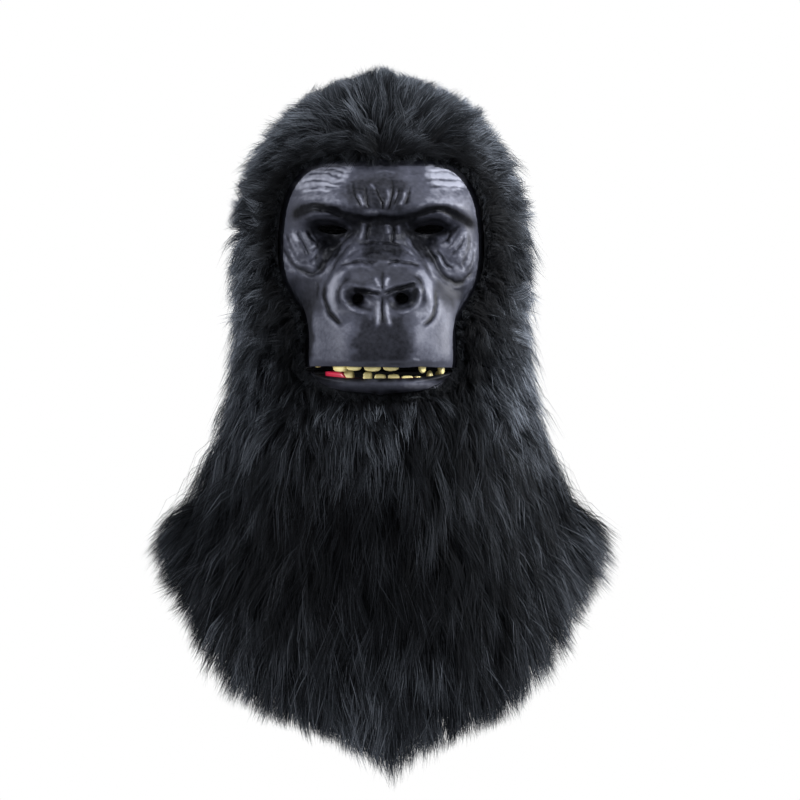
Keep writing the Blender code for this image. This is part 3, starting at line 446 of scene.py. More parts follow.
# Strokes: name, half width and push in mm, share of raised lips, and the line's points in mm
STROKES = (
    ("brow_ridge", 4.5, 1.6, 0.0, [(-71.5, -88.5), (-60.5, -84.5), (-47.0, -84.5), (-33.5, -88.5), (-23.0, -93.5), (-9.5, -97.0), (4.0, -98.0), (17.5, -97.0), (29.5, -93.0), (43.0, -88.0), (56.5, -88.0), (67.5, -93.0), (75.5, -98.5)]),
    ("brow_under", 3.0, -4.2, 0.0, [(-72.0, -101.0), (-66.0, -96.0), (-58.0, -93.5), (-47.0, -93.5), (-38.0, -95.0), (-28.5, -98.0), (-17.5, -101.0), (-7.0, -102.0), (4.0, -102.0), (14.5, -101.5), (23.0, -100.0), (31.0, -98.0), (39.0, -95.5), (47.0, -94.5), (55.0, -97.0), (63.0, -101.0), (71.5, -105.5), (77.5, -108.5)]),
    ("lid_right", 2.6, 2.6, 0.0, [(-59.5, -102.0), (-51.5, -99.0), (-42.0, -98.5), (-33.5, -101.0), (-27.0, -105.5)]),
    ("lid_left", 2.6, 2.6, 0.0, [(27.0, -103.5), (34.5, -100.0), (43.0, -98.5), (51.0, -99.5), (58.0, -103.5)]),
    ("lid_line_right", 0.8, -0.8, 0.3, [(-58.0, -105.5), (-50.0, -103.0), (-40.5, -103.5), (-31.0, -106.0), (-25.0, -110.0)]),
    ("lid_line_left", 0.8, -0.8, 0.3, [(25.0, -107.5), (31.0, -104.5), (40.5, -103.0), (50.0, -104.0), (56.5, -107.5)]),
    ("forehead_a", 1.0, -0.9, 0.4, [(-60.0, -66.5), (-54.0, -64.5), (-44.5, -64.5), (-38.0, -67.0), (-28.5, -69.0)]),
    ("forehead_b", 1.1, -1.0, 0.4, [(-66.0, -73.0), (-58.0, -71.5), (-47.0, -71.5), (-38.0, -73.0), (-25.5, -71.5)]),
    ("forehead_c", 0.9, -0.7, 0.5, [(-67.0, -77.5), (-58.0, -76.5), (-47.0, -76.5), (-35.0, -76.0), (-25.0, -77.5)]),
    ("forehead_d", 0.9, -0.7, 0.4, [(-54.0, -61.5), (-42.0, -61.5), (-31.0, -64.0), (-21.5, -64.5)]),
    ("forehead_e", 0.9, -0.6, 0.4, [(-47.0, -58.0), (-36.5, -58.5), (-25.5, -60.5)]),
    ("forehead_f", 1.0, -0.9, 0.4, [(35.5, -64.0), (47.0, -63.5), (56.5, -64.5), (66.0, -68.0)]),
    ("forehead_g", 1.1, -1.0, 0.4, [(34.5, -70.0), (44.5, -69.5), (55.0, -70.5), (64.5, -71.0), (70.5, -73.5)]),
    ("forehead_h", 0.9, -0.7, 0.5, [(37.5, -76.0), (47.0, -75.0), (58.0, -76.0), (69.5, -77.5)]),
    ("forehead_i", 0.9, -0.7, 0.4, [(37.5, -60.0), (48.5, -60.0), (60.5, -62.0)]),
    ("frown_a", 1.1, -1.1, 0.3, [(-23.0, -71.0), (-21.5, -79.0), (-19.0, -87.0), (-17.5, -94.5)]),
    ("frown_b", 1.2, -1.2, 0.3, [(-12.0, -75.5), (-11.0, -84.5), (-9.0, -94.0)]),
    ("frown_c", 1.1, -1.2, 0.3, [(-5.5, -73.0), (-2.0, -80.5), (0.0, -88.5), (2.0, -96.0)]),
    ("frown_d", 1.1, -1.2, 0.3, [(8.5, -73.0), (9.0, -80.5), (7.0, -88.5), (5.5, -96.0)]),
    ("frown_e", 1.0, -1.0, 0.3, [(14.5, -76.5), (12.5, -84.5), (10.0, -91.0)]),
    ("frown_f", 1.2, -1.2, 0.3, [(23.5, -75.0), (22.5, -83.0), (20.0, -92.0)]),
    ("frown_rise_a", 1.5, 1.3, 0.0, [(-18.5, -80.5), (-17.0, -86.5), (-14.5, -93.0)]),
    ("frown_rise_b", 1.4, 1.2, 0.0, [(5.5, -75.5), (5.5, -84.5), (4.0, -94.0)]),
    ("frown_rise_c", 1.5, 1.5, 0.0, [(19.5, -77.5), (18.5, -86.0), (16.0, -93.0)]),
    ("frown_rise_d", 1.2, 0.9, 0.0, [(-8.5, -73.0), (-4.0, -78.5)]),
    ("frown_rise_e", 1.2, 0.8, 0.0, [(12.5, -79.5), (10.0, -86.0)]),
    ("bag_edge_right", 2.2, -1.8, 0.5, [(-78.0, -119.5), (-75.0, -130.0), (-69.5, -139.0), (-62.0, -144.0), (-54.0, -144.0), (-48.0, -139.0), (-42.0, -130.0), (-37.0, -122.0)]),
    ("bag_r_a", 1.1, -1.2, 0.5, [(-67.0, -109.5), (-63.5, -118.0), (-60.0, -126.5), (-58.0, -132.0)]),
    ("bag_r_b", 1.0, -1.0, 0.5, [(-60.0, -108.5), (-56.0, -116.0), (-52.0, -120.0)]),
    ("bag_r_c", 1.1, -1.1, 0.5, [(-76.0, -111.5), (-73.0, -121.0), (-69.5, -130.0), (-64.0, -138.5)]),
    ("bag_r_d", 1.0, -1.0, 0.5, [(-57.5, -128.0), (-52.5, -124.5), (-51.0, -120.0)]),
    ("bag_r_e", 1.0, -0.9, 0.5, [(-58.5, -138.5), (-54.5, -134.5), (-52.0, -130.0)]),
    ("bag_r_f", 0.9, -0.8, 0.5, [(-79.5, -114.0), (-78.0, -125.0), (-74.0, -135.5)]),
    ("bag_rise_r_a", 1.6, 1.0, 0.0, [(-71.5, -109.5), (-68.5, -117.5), (-64.5, -125.0)]),
    ("bag_rise_r_b", 1.4, 1.0, 0.0, [(-63.0, -110.0), (-59.5, -117.5), (-56.5, -123.5)]),
    ("bag_rise_r_c", 1.3, 0.9, 0.0, [(-56.5, -125.0), (-53.0, -122.0)]),
    ("orbit_right", 4.6, -2.6, 0.0, [(-48.0, -119.5), (-42.0, -121.0), (-37.0, -117.5), (-40.5, -127.5), (-46.5, -135.5)]),
    ("bag_edge_left", 2.2, -1.8, 0.5, [(37.5, -123.5), (42.5, -133.0), (47.0, -142.5), (54.0, -149.5), (62.5, -151.5), (70.5, -146.5), (76.5, -138.5)]),
    ("bag_l_a", 1.1, -1.2, 0.5, [(62.5, -107.5), (56.5, -112.0), (52.5, -118.0), (46.5, -122.0)]),
    ("bag_l_b", 1.1, -1.2, 0.5, [(44.5, -125.0), (48.5, -131.0), (51.5, -137.0), (58.5, -141.5)]),
    ("bag_l_c", 1.0, -1.0, 0.5, [(55.0, -132.0), (61.0, -127.0), (66.0, -119.5), (68.5, -112.5)]),
    ("bag_l_d", 1.1, -1.1, 0.5, [(71.5, -111.5), (72.5, -119.5), (70.0, -129.0), (64.5, -139.0)]),
    ("bag_l_e", 1.0, -1.0, 0.5, [(76.0, -117.5), (75.5, -127.5), (71.5, -138.5), (66.0, -146.5)]),
    ("bag_l_f", 0.9, -0.8, 0.5, [(52.5, -126.0), (56.5, -122.0), (59.0, -117.5)]),
    ("bag_rise_l_a", 1.6, 1.0, 0.0, [(65.5, -108.5), (62.0, -117.5), (56.5, -125.0)]),
    ("bag_rise_l_b", 1.4, 1.0, 0.0, [(69.5, -119.5), (65.5, -130.0), (60.5, -137.0)]),
    ("bag_rise_l_c", 1.3, 1.0, 0.0, [(48.5, -119.5), (52.5, -123.5)]),
    ("orbit_left", 4.6, -2.6, 0.0, [(41.5, -119.5), (34.5, -119.5), (29.5, -116.5), (35.0, -127.5), (41.0, -135.5)]),
    ("flank_r_a", 1.5, -1.3, 0.5, [(-19.5, -107.5), (-24.5, -115.5), (-32.5, -123.5), (-39.0, -131.5), (-45.0, -139.5), (-51.5, -147.0)]),
    ("flank_r_b", 1.3, -1.1, 0.5, [(-23.0, -121.5), (-30.5, -128.0), (-36.5, -137.0), (-41.0, -146.5), (-44.5, -157.0)]),
    ("flank_r_c", 1.2, -0.9, 0.5, [(-31.0, -119.5), (-39.0, -127.5), (-46.0, -137.0)]),
    ("flank_r_d", 1.1, -0.8, 0.4, [(-51.5, -150.5), (-51.0, -158.5), (-52.0, -168.0)]),
    ("flank_l_a", 1.5, -1.3, 0.5, [(20.0, -108.5), (26.0, -119.5), (33.0, -130.0), (37.5, -141.0), (40.5, -152.0)]),
    ("flank_l_b", 1.3, -1.1, 0.5, [(18.5, -121.5), (25.5, -126.5), (31.0, -133.5), (36.5, -143.5)]),
    ("flank_l_c", 1.2, -0.9, 0.5, [(27.0, -116.5), (34.5, -126.0), (39.0, -137.0)]),
    ("flank_l_d", 1.2, -0.9, 0.4, [(41.5, -142.5), (50.0, -151.0), (58.5, -156.5)]),
    ("bridge_rise_a", 1.6, 1.5, 0.0, [(-13.5, -103.5), (-15.0, -111.5), (-17.5, -119.5)]),
    ("bridge_rise_b", 1.6, 1.2, 0.0, [(4.0, -105.5), (5.5, -114.0)]),
    ("bridge_rise_c", 1.4, 1.2, 0.0, [(13.5, -106.5), (14.5, -114.0)]),
    ("bridge_a", 1.4, -1.4, 0.2, [(-9.0, -104.5), (-9.5, -112.5), (-11.0, -119.5)]),
    ("bridge_b", 1.4, -1.6, 0.2, [(9.5, -106.0), (10.0, -114.0), (9.5, -121.0)]),
    ("bridge_c", 1.2, -1.0, 0.3, [(-19.0, -123.0), (-7.0, -121.0), (6.5, -121.5), (18.0, -123.5)]),
    ("bridge_d", 1.0, -0.6, 0.4, [(-12.0, -129.0), (-1.5, -128.0), (9.5, -128.5)]),
    ("bridge_e", 1.0, -0.7, 0.5, [(-28.5, -132.0), (-22.5, -130.0), (-17.5, -127.0)]),
    ("bridge_f", 1.0, -0.7, 0.5, [(20.0, -128.5), (25.5, -131.0), (30.0, -135.5)]),
    ("fold_right", 1.5, -1.7, 0.6, [(-33.5, -141.5), (-28.5, -138.5), (-20.5, -137.0), (-12.0, -137.5), (-4.0, -139.5)]),
    ("fold_left", 1.5, -1.7, 0.6, [(4.0, -139.0), (9.5, -137.0), (17.5, -136.5), (25.5, -138.5), (33.0, -142.0)]),
    ("wing_right", 2.9, 3.0, 0.0, [(-35.0, -178.5), (-39.0, -170.5), (-40.0, -162.5), (-38.5, -154.0), (-34.0, -147.0), (-27.0, -143.0), (-19.0, -141.5)]),
    ("wing_left", 2.9, 3.0, 0.0, [(36.5, -178.5), (39.0, -171.5), (40.0, -162.5), (38.5, -154.0), (34.0, -147.0), (27.0, -143.0), (20.0, -141.5)]),
    ("wing_in_right", 1.8, -1.4, 0.0, [(-31.0, -173.5), (-34.5, -165.0), (-34.0, -158.5), (-30.5, -152.0), (-23.0, -148.5)]),
    ("wing_in_left", 1.8, -1.4, 0.0, [(31.5, -173.5), (35.0, -165.0), (34.5, -158.5), (31.5, -152.0), (25.0, -148.5)]),
    ("wing_out_right", 1.7, -2.0, 0.4, [(-45.0, -156.0), (-45.0, -165.0), (-42.5, -174.5), (-37.0, -182.5), (-31.0, -187.0)]),
    ("wing_out_left", 1.7, -2.0, 0.4, [(44.0, -158.5), (44.5, -168.0), (43.0, -176.5), (39.0, -184.5), (34.5, -189.0)]),
    ("rim_right", 1.5, 1.7, 0.0, [(-23.0, -157.5), (-29.0, -158.5), (-30.5, -164.0), (-28.5, -169.5), (-23.5, -174.5), (-16.0, -177.0), (-9.0, -177.5)]),
    ("rim_left", 1.5, 1.7, 0.0, [(26.0, -156.5), (31.0, -158.5), (31.5, -164.0), (29.5, -169.5), (25.0, -174.0), (18.0, -177.0), (10.5, -176.5)]),
    ("tip_right", 1.5, -2.2, 0.5, [(-23.0, -157.5), (-17.0, -160.0), (-9.5, -161.0), (-3.5, -162.5), (0.5, -164.0)]),
    ("tip_left", 1.5, -2.2, 0.5, [(2.0, -164.0), (7.5, -160.5), (15.5, -157.5), (23.5, -155.8), (29.0, -156.0)]),
    ("tip_rise_right", 2.0, 1.4, 0.0, [(-4.0, -147.5), (-2.5, -152.5), (-0.5, -157.0)]),
    ("tip_rise_left", 2.0, 1.4, 0.0, [(6.5, -147.0), (5.0, -152.0), (3.5, -157.0)]),
    ("tip_line", 1.0, -1.0, 0.0, [(1.5, -143.5), (1.5, -152.0), (1.5, -162.5)]),
    ("septum_right", 1.5, 1.4, 0.0, [(-3.5, -166.5), (-2.5, -173.5), (-3.0, -181.5), (-2.0, -189.5)]),
    ("septum_left", 1.5, 1.4, 0.0, [(5.0, -166.5), (4.5, -173.5), (5.5, -181.5), (6.5, -189.0)]),
    ("septum_line", 1.0, -1.2, 0.0, [(1.5, -164.5), (1.5, -173.5), (1.5, -187.5)]),
)

# %% The outline of the opening


def opening_outline(clearance):
    """The face opening's outline in x and z, from the top round by +X."""
    places = np.arange(OPENING.shape[1])
    fine = np.arange(4 * (len(places) - 1) + 1) / 4
    half = np.maximum(smooth(places, OPENING[1] * HALF_FACE + OPENING[2] * HALF_MUZZLE, fine), 0)
    down = smooth(places, OPENING[0], fine)
    x = np.where(half > 0, half + clearance, 0)
    z = CLOTH - FACE_TOP - (FACE_HEIGHT + JAW_HEIGHT) * down
    z[0], z[-1] = z[0] + clearance, z[-1] - clearance
    right = np.stack([x, z], -1)
    return np.concatenate([right, right[-2:0:-1] * (-1, 1)])


OUTLINE = opening_outline(RIM_CLEARANCE)


def beyond_opening(x, z):
    """How far outside the opening a point lies from the front. Negative inside."""
    x, z = np.asarray(x, float), np.asarray(z, float)
    near = np.full(x.shape, np.inf)
    inside = np.zeros(x.shape, bool)
    for (ax, az), (bx, bz) in zip(OUTLINE, np.roll(OUTLINE, -1, 0)):
        dx, dz = bx - ax, bz - az
        share = np.clip(((x - ax) * dx + (z - az) * dz) / (dx * dx + dz * dz), 0, 1)
        near = np.minimum(near, np.hypot(x - ax - share * dx, z - az - share * dz))
        if az != bz:
            inside ^= ((az > z) != (bz > z)) & (x < ax + (z - az) / dz * dx)
    return np.where(inside, -near, near)


# %% The relief


def swellings(x, z):
    """Soft mounds and hollows, the same on both sides: push * exp(-distance squared)."""
    push = np.zeros(np.shape(x))
    for sx, sz, wide, high, much in SWELLS:
        across = (np.abs(x) / HALF_FACE - sx) / wide
        down = ((CLOTH - FACE_TOP - z) / FACE_HEIGHT - sz) / high
        push += much * np.exp(-(across**2 + down**2))
    return push * MUZZLE_REACH


def near_line(x, z, line, reach):
    """The distance of each place to a smoothed line, and how far along it that is, from 0 to 1."""
    line = np.array(line)
    places = np.linspace(0, len(line) - 1, 6 * (len(line) - 1) + 1)
    path = smooth(np.arange(len(line)), line.T, places).T
    low, high = path.min(0) - reach, path.max(0) + reach
    near = (x > low[0]) & (x < high[0]) & (z > low[1]) & (z < high[1])
    px, pz = x[near], z[near]
    best, place = np.full(px.shape, np.inf), np.zeros(px.shape)
    for k, ((ax, az), (bx, bz)) in enumerate(zip(path[:-1], path[1:])):
        dx, dz = bx - ax, bz - az
        share = np.clip(((px - ax) * dx + (pz - az) * dz) / (dx * dx + dz * dz), 0, 1)
        d = np.hypot(px - ax - share * dx, pz - az - share * dz)
        closer = d < best
        best, place = np.where(closer, d, best), np.where(closer, (k + share) / (len(path) - 1), place)
    return near, best, place


def stroke(x, z, width, push, lips, line):
    """How far one stroke pushes the skin, all in mm.

    The push falls off as exp(-(distance / width) squared) and towards the line's ends. Lips raise the
    skin on both sides of a crease, two widths away.
    """
    out = np.zeros(np.shape(x))
    near, off, place = near_line(x, z, line, (4.0 if lips else 2.6) * width)
    ends = fade(np.minimum(place, 1 - place) * 5 + 0.12)
    shape = np.exp(-((off / width) ** 2))
    if lips:
        shape = shape - lips * np.exp(-(((off - 2.0 * width) / (0.9 * width)) ** 2))
    out[near] = push * ends * shape
    return out


def strokes(x, z):
    """All strokes together, in metres, at places in metres."""
    wobble = (noise(x, z, 0.009, 5) * 0.0012 + noise(x, z, 0.003, 7) * 0.0004,
              noise(x, z, 0.009, 6) * 0.0012 + noise(x, z, 0.003, 9) * 0.0004)
    xm, zm = (x + wobble[0]) * 1000, (z + wobble[1]) * 1000
    return sum(stroke(xm, zm, *row[1:]) for row in STROKES) * MM


def zone(x, z, at_x, at_z, wide, high, power=2.0):
    """1 in the middle of an oval patch, falling to 0 round it. Places and sizes in mm."""
    return np.exp(-(np.abs((x * 1000 - at_x) / wide) ** power + np.abs((z * 1000 - at_z) / high) ** power))


def skin(x, z):
    """Fine uneven skin: lumps, and folds along the lie of each part of the face."""
    bags = zone(x, z, -67, -128, 17, 19, 4) + zone(x, z, 68, -128, 17, 20, 4)
    brow = zone(x, z, 0, -72, 78, 14, 6)
    nose = zone(x, z, 0, -125, 26, 20, 4)
    lip = zone(x, z, 0, -205, 55, 20, 6)
    bent_x, bent_z = x + 0.0022 * noise(x, z, 0.008, 15), z + 0.0022 * noise(x, z, 0.008, 16)
    ridged = 1 - 2 * np.abs(noise(bent_x * 0.8 + bent_z * 0.5, bent_z * 0.55 - bent_x * 0.5, 0.0042, 11))
    level = 1 - 2 * np.abs(noise(bent_x * 0.40, bent_z, 0.0034, 12))
    fine = noise(x, z, 0.0015, 13)
    lumps = noise(x, z, 0.007, 14)
    return MM * (0.62 * ridged * bags + 0.40 * level * brow + 0.42 * ridged * nose
                 + 0.22 * lumps * (1 - 0.7 * lip) + 0.09 * fine * (1 - 0.6 * lip))


# %% The grid of the face and of the lower lip


def section_points(table, down, s, top_drop, height):
    """The broad form: rows of points at `down`, columns at `s` from -1 to 1."""
    value = {name: smooth(table[0], table[k], down)
             for k, name in enumerate(("face", "muzzle", "y0", "x1", "y1", "x2", "y2", "x3", "y3"), 1)}
    half = value["face"] * HALF_FACE + value["muzzle"] * HALF_MUZZLE
    z = CLOTH - top_drop - height * down
    turn, along = seen_under_cloth(half, z)
    edge = under_cloth(turn, along)
    hidden = under_cloth(turn + TUCK / np.hypot(edge[:, 0], edge[:, 1]), along)
    xs = np.stack([0 * half, value["x1"] * half, value["x2"] * half, value["x3"] * half, edge[:, 0], hidden[:, 0]], -1)
    ys = [-(HOOD_FRONT + MUZZLE_REACH * value[key]) for key in ("y0", "y1", "y2", "y3")]
    ys = np.stack([*ys, edge[:, 1], hidden[:, 1]], -1)
    side, rim = np.abs(s), np.clip((np.abs(s) - STOPS[-2]) / (STOPS[-1] - STOPS[-2]), 0, 1)
    rounded = np.where(side < 0.16, side**2 / 0.32 + 0.08, side)
    x, y = smooth(STOPS, xs, side), smooth(STOPS, ys, rounded)
    z = np.broadcast_to(z[:, None], x.shape)
    past = rim > 0
    lerp = edge[:, None] + (hidden - edge)[:, None] * rim[None, :, None]
    points = np.where(past[None, :, None], lerp, np.stack([x, y, z], -1))
    points[..., 0] *= np.where(s < 0, -1, 1)
    return points


def tucked(points):
    """Keeps what lies by the cloth's edge behind the cloth."""
    near = beyond_opening(points[..., 0], points[..., 2]) > -RIM_TUCK
    x, z = np.abs(points[..., 0][near]), points[..., 2][near]
    points[..., 1][near] = np.maximum(points[..., 1][near], under_cloth(*seen_under_cloth(x, z))[..., 1])
    return points


def lip_lift(x):
    """How much higher than in the plain solid the upper lip's edge curls: a little askew."""
    return 0.0020 - 0.0006 * np.clip(x / HALF_MUZZLE, -1, 1) + 0.0005 * noise(x, 0 * x, 0.016, 8)


def face_points(t, s, fine):
    points = section_points(FACE, np.maximum(t, 0), s, FACE_TOP, FACE_HEIGHT)
    shown = np.abs(s) <= STOPS[-2]
    x, z = points[..., 0], points[..., 2]
    push = swellings(x, z)
    if fine:
        inward = fade(-beyond_opening(x, z) / 0.006 - 0.15)
        hollows = zone(x, z, -19.5, -164.5, 8.5, 7.0) * 3.2 + zone(x, z, 19.0, -164.0, 11.0, 7.0) * 3.8
        push = push + (strokes(x, z) + skin(x, z) - hollows * MM) * inward
    points[..., 1] -= push * shown
    body = tucked(points[:, shown])
    points[:, shown] = body
    top = t < 0
    if top.any():
        row = points[int(np.argmin(np.abs(t)))]
        turn, along = seen_under_cloth(np.abs(row[:, 0]), row[:, 2])
        slope = np.linalg.norm(cloth(turn, along + 0.01) - cloth(turn, along - 0.01), axis=-1) / 0.02
        hidden = under_cloth(turn, along - TUCK / slope)
        hidden[:, 0] *= np.sign(row[:, 0])
        points[top] = hidden
    points[..., 2] += fade((t - 0.80) / 0.20)[:, None] * shown * lip_lift(points[..., 0])
    return points


def normals_of(points):
    """Straight out of a grid of points, from the steps to its neighbours."""
    down, across = np.gradient(points, axis=0), np.gradient(points, axis=1)
    return unit(np.cross(down, across))


def moulded(name, outer, inner):
    """A closed shell from a fine outer grid and an inner grid of half its rows and columns."""
    rows, columns = outer.shape[:2]
    few_rows, few_columns = inner.shape[:2]
    front = grid_faces(rows, columns)
    back = grid_faces(few_rows, few_columns, start=rows * columns)[:, ::-1]
    near = np.arange(rows * columns).reshape(rows, columns)
    far = rows * columns + np.arange(few_rows * few_columns).reshape(few_rows, few_columns)
    walls = []
    for a, b, turned in ((near[0], far[0], True), (near[-1], far[-1], False),
                         (near[:, 0], far[:, 0], False), (near[:, -1], far[:, -1], True)):
        left, middle, right, low, high = a[:-2:2], a[1::2], a[2::2], b[:-1], b[1:]
        made = np.concatenate([np.stack(f, -1) for f in ((left, low, middle), (middle, high, right), (middle, low, high))])
        walls.append(made[:, ::-1] if turned else made)
    points = np.concatenate([outer.reshape(-1, 3), inner.reshape(-1, 3)])
    return object_from(name, points, [front, back, *walls])


ROWS, COLUMNS = ((260, 220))
across = np.concatenate([[-1.0], np.linspace(-STOPS[-2], STOPS[-2], COLUMNS - 1), [1.0]])
down = np.concatenate([[-1.0], np.linspace(0, 1, ROWS)])
skin_grid = face_points(down, across, True)
plain_grid = face_points(down[::2], across[::2], False)
lining_grid = plain_grid - normals_of(plain_grid) * SHELL_WALL
face = moulded("face_skin", skin_grid, lining_grid)
print("face", face_count(face), "triangles")

# %% [markdown]
# ## The painter's work
#
# The casting is slate grey all through. The painter lays darker and paler patches on it, draws lines
# along folds and ridges, washes black into what lies deep and brushes pale grey over what stands out.
# Much of it is painted light as well: painted shadow under the brow ridge, painted shade in the eye
# hollows, the nostrils, the folds and on the cheeks behind the muzzle, and painted highlights on the
# brows, the lip pads, the nose and the lip's edge, palest at +X where the light falls.
# All of it is one number a point, the tone: 0 is black, 0.5 slate and 1 the palest grey.

# %% The painter's table
PATCHES = (  # x, z, half width, half height: mm; power, turn, tone, strength
    (-1.5, -73.0, 80.8, 22.9, 6, 0.0, 0.44, 1),
    # Pale patches on the brows, here and below, palest at +X: partly dry-brushed paint, partly painted highlight.
    (-40.5, -65.5, 26.9, 10.1, 3, 0.1, 0.72, 0.9),
    (-56.5, -73.0, 14.8, 5.4, 3, 0.14, 0.90, 0.7),
    (-50.0, -85.0, 26.9, 5.7, 3, 0.1, 0.48, 0.85),
    (-71.5, -95.0, 5.4, 8.1, 3, 0.0, 0.4, 0.7),
    (54.0, -67.0, 16.8, 9.7, 3, -0.1, 0.96, 0.95),
    (58.0, -85.0, 20.2, 7.4, 3, -0.17, 0.56, 0.85),
    (74.0, -98.0, 5.4, 8.1, 3, -0.52, 0.52, 0.7),
    (-4.0, -64.0, 20.2, 10.1, 4, 0.0, 0.22, 0.9),
    (25.5, -66.0, 12.1, 9.4, 3, 0.0, 0.42, 0.7),
    (-2.0, -83.0, 26.9, 13.5, 4, 0.0, 0.07, 0.97),
    (31.0, -79.0, 8.1, 12.1, 3, 0.0, 0.34, 0.6),
    (-66.0, -123.5, 16.8, 20.2, 4, 0.0, 0.45, 0.9),
    (62.0, -127.5, 16.8, 22.2, 4, 0.0, 0.42, 0.9),
    (-32.5, -130.0, 14.8, 14.8, 3, 0.61, 0.34, 0.85),
    (26.0, -130.0, 12.1, 14.8, 3, -0.61, 0.36, 0.85),
    (1.5, -110.0, 22.2, 10.8, 4, 0.0, 0.06, 0.97),
    (1.5, -128.0, 18.2, 8.4, 4, 0.0, 0.05, 0.97),
    # Painted shade: the dark patches round the eye slits and in the eye hollows below them.
    (-40.0, -107.5, 20.2, 8.4, 3, 0.0, 0.05, 0.97),
    (37.5, -107.5, 19.5, 7.8, 3, 0.0, 0.05, 0.97),
    (-43.0, -123.5, 10.0, 11.3, 2.6, 0.52, 0.01, 0.98),
    (-49.5, -135.5, 4.6, 6.2, 2.4, 0.0, 0.08, 0.85),
    (36.5, -119.5, 10.5, 7.5, 2.6, 0.0, 0.02, 0.96),
    (41.5, -130.0, 4.3, 9.4, 2.4, -0.44, 0.1, 0.85),
    (1.5, -147.5, 32.3, 8.9, 4, 0.0, 0.18, 0.93),
    (-17.5, -148.5, 6.7, 4.0, 3, 0.0, 0.34, 0.6),
    # Painted shade in the nostrils.
    (-18.5, -163.5, 10.0, 8.1, 2.6, 0.0, 0.04, 0.98),
    (17.5, -164.0, 14.0, 7.5, 2.6, 0.35, 0.04, 0.98),
    # Painted shade on the cheeks behind the muzzle and along its sides.
    (-64.0, -162.5, 13.5, 16.8, 3, 0.0, 0.15, 0.93),
    (-52.5, -165.0, 5.4, 14.8, 3, 0.0, 0.2, 0.7),
    (56.5, -157.0, 13.5, 10.0, 3, 0.0, 0.14, 0.92),
    (55.0, -170.0, 5.4, 6.2, 2.5, 0.0, 0.2, 0.8),
    # The paler lip pads are partly paint and partly painted highlight.
    (-38.0, -197.5, 18.2, 20.9, 4, 0.0, 0.56, 0.95),
    (41.5, -195.0, 18.9, 24.2, 4, 0.0, 0.56, 0.95),
    (1.5, -199.0, 22.6, 20.2, 4, 0.0, 0.07, 0.98),
    (-22.5, -181.5, 9.4, 4.6, 3, 0.0, 0.3, 0.7),
    # Painted shade down the muzzle's left side, fading it into black.
    (-61.0, -190.0, 7.0, 30.0, 3, 0.0, 0.05, 0.95),
    (23.5, -182.5, 5.4, 5.4, 3, 0.0, 0.34, 0.6),
)
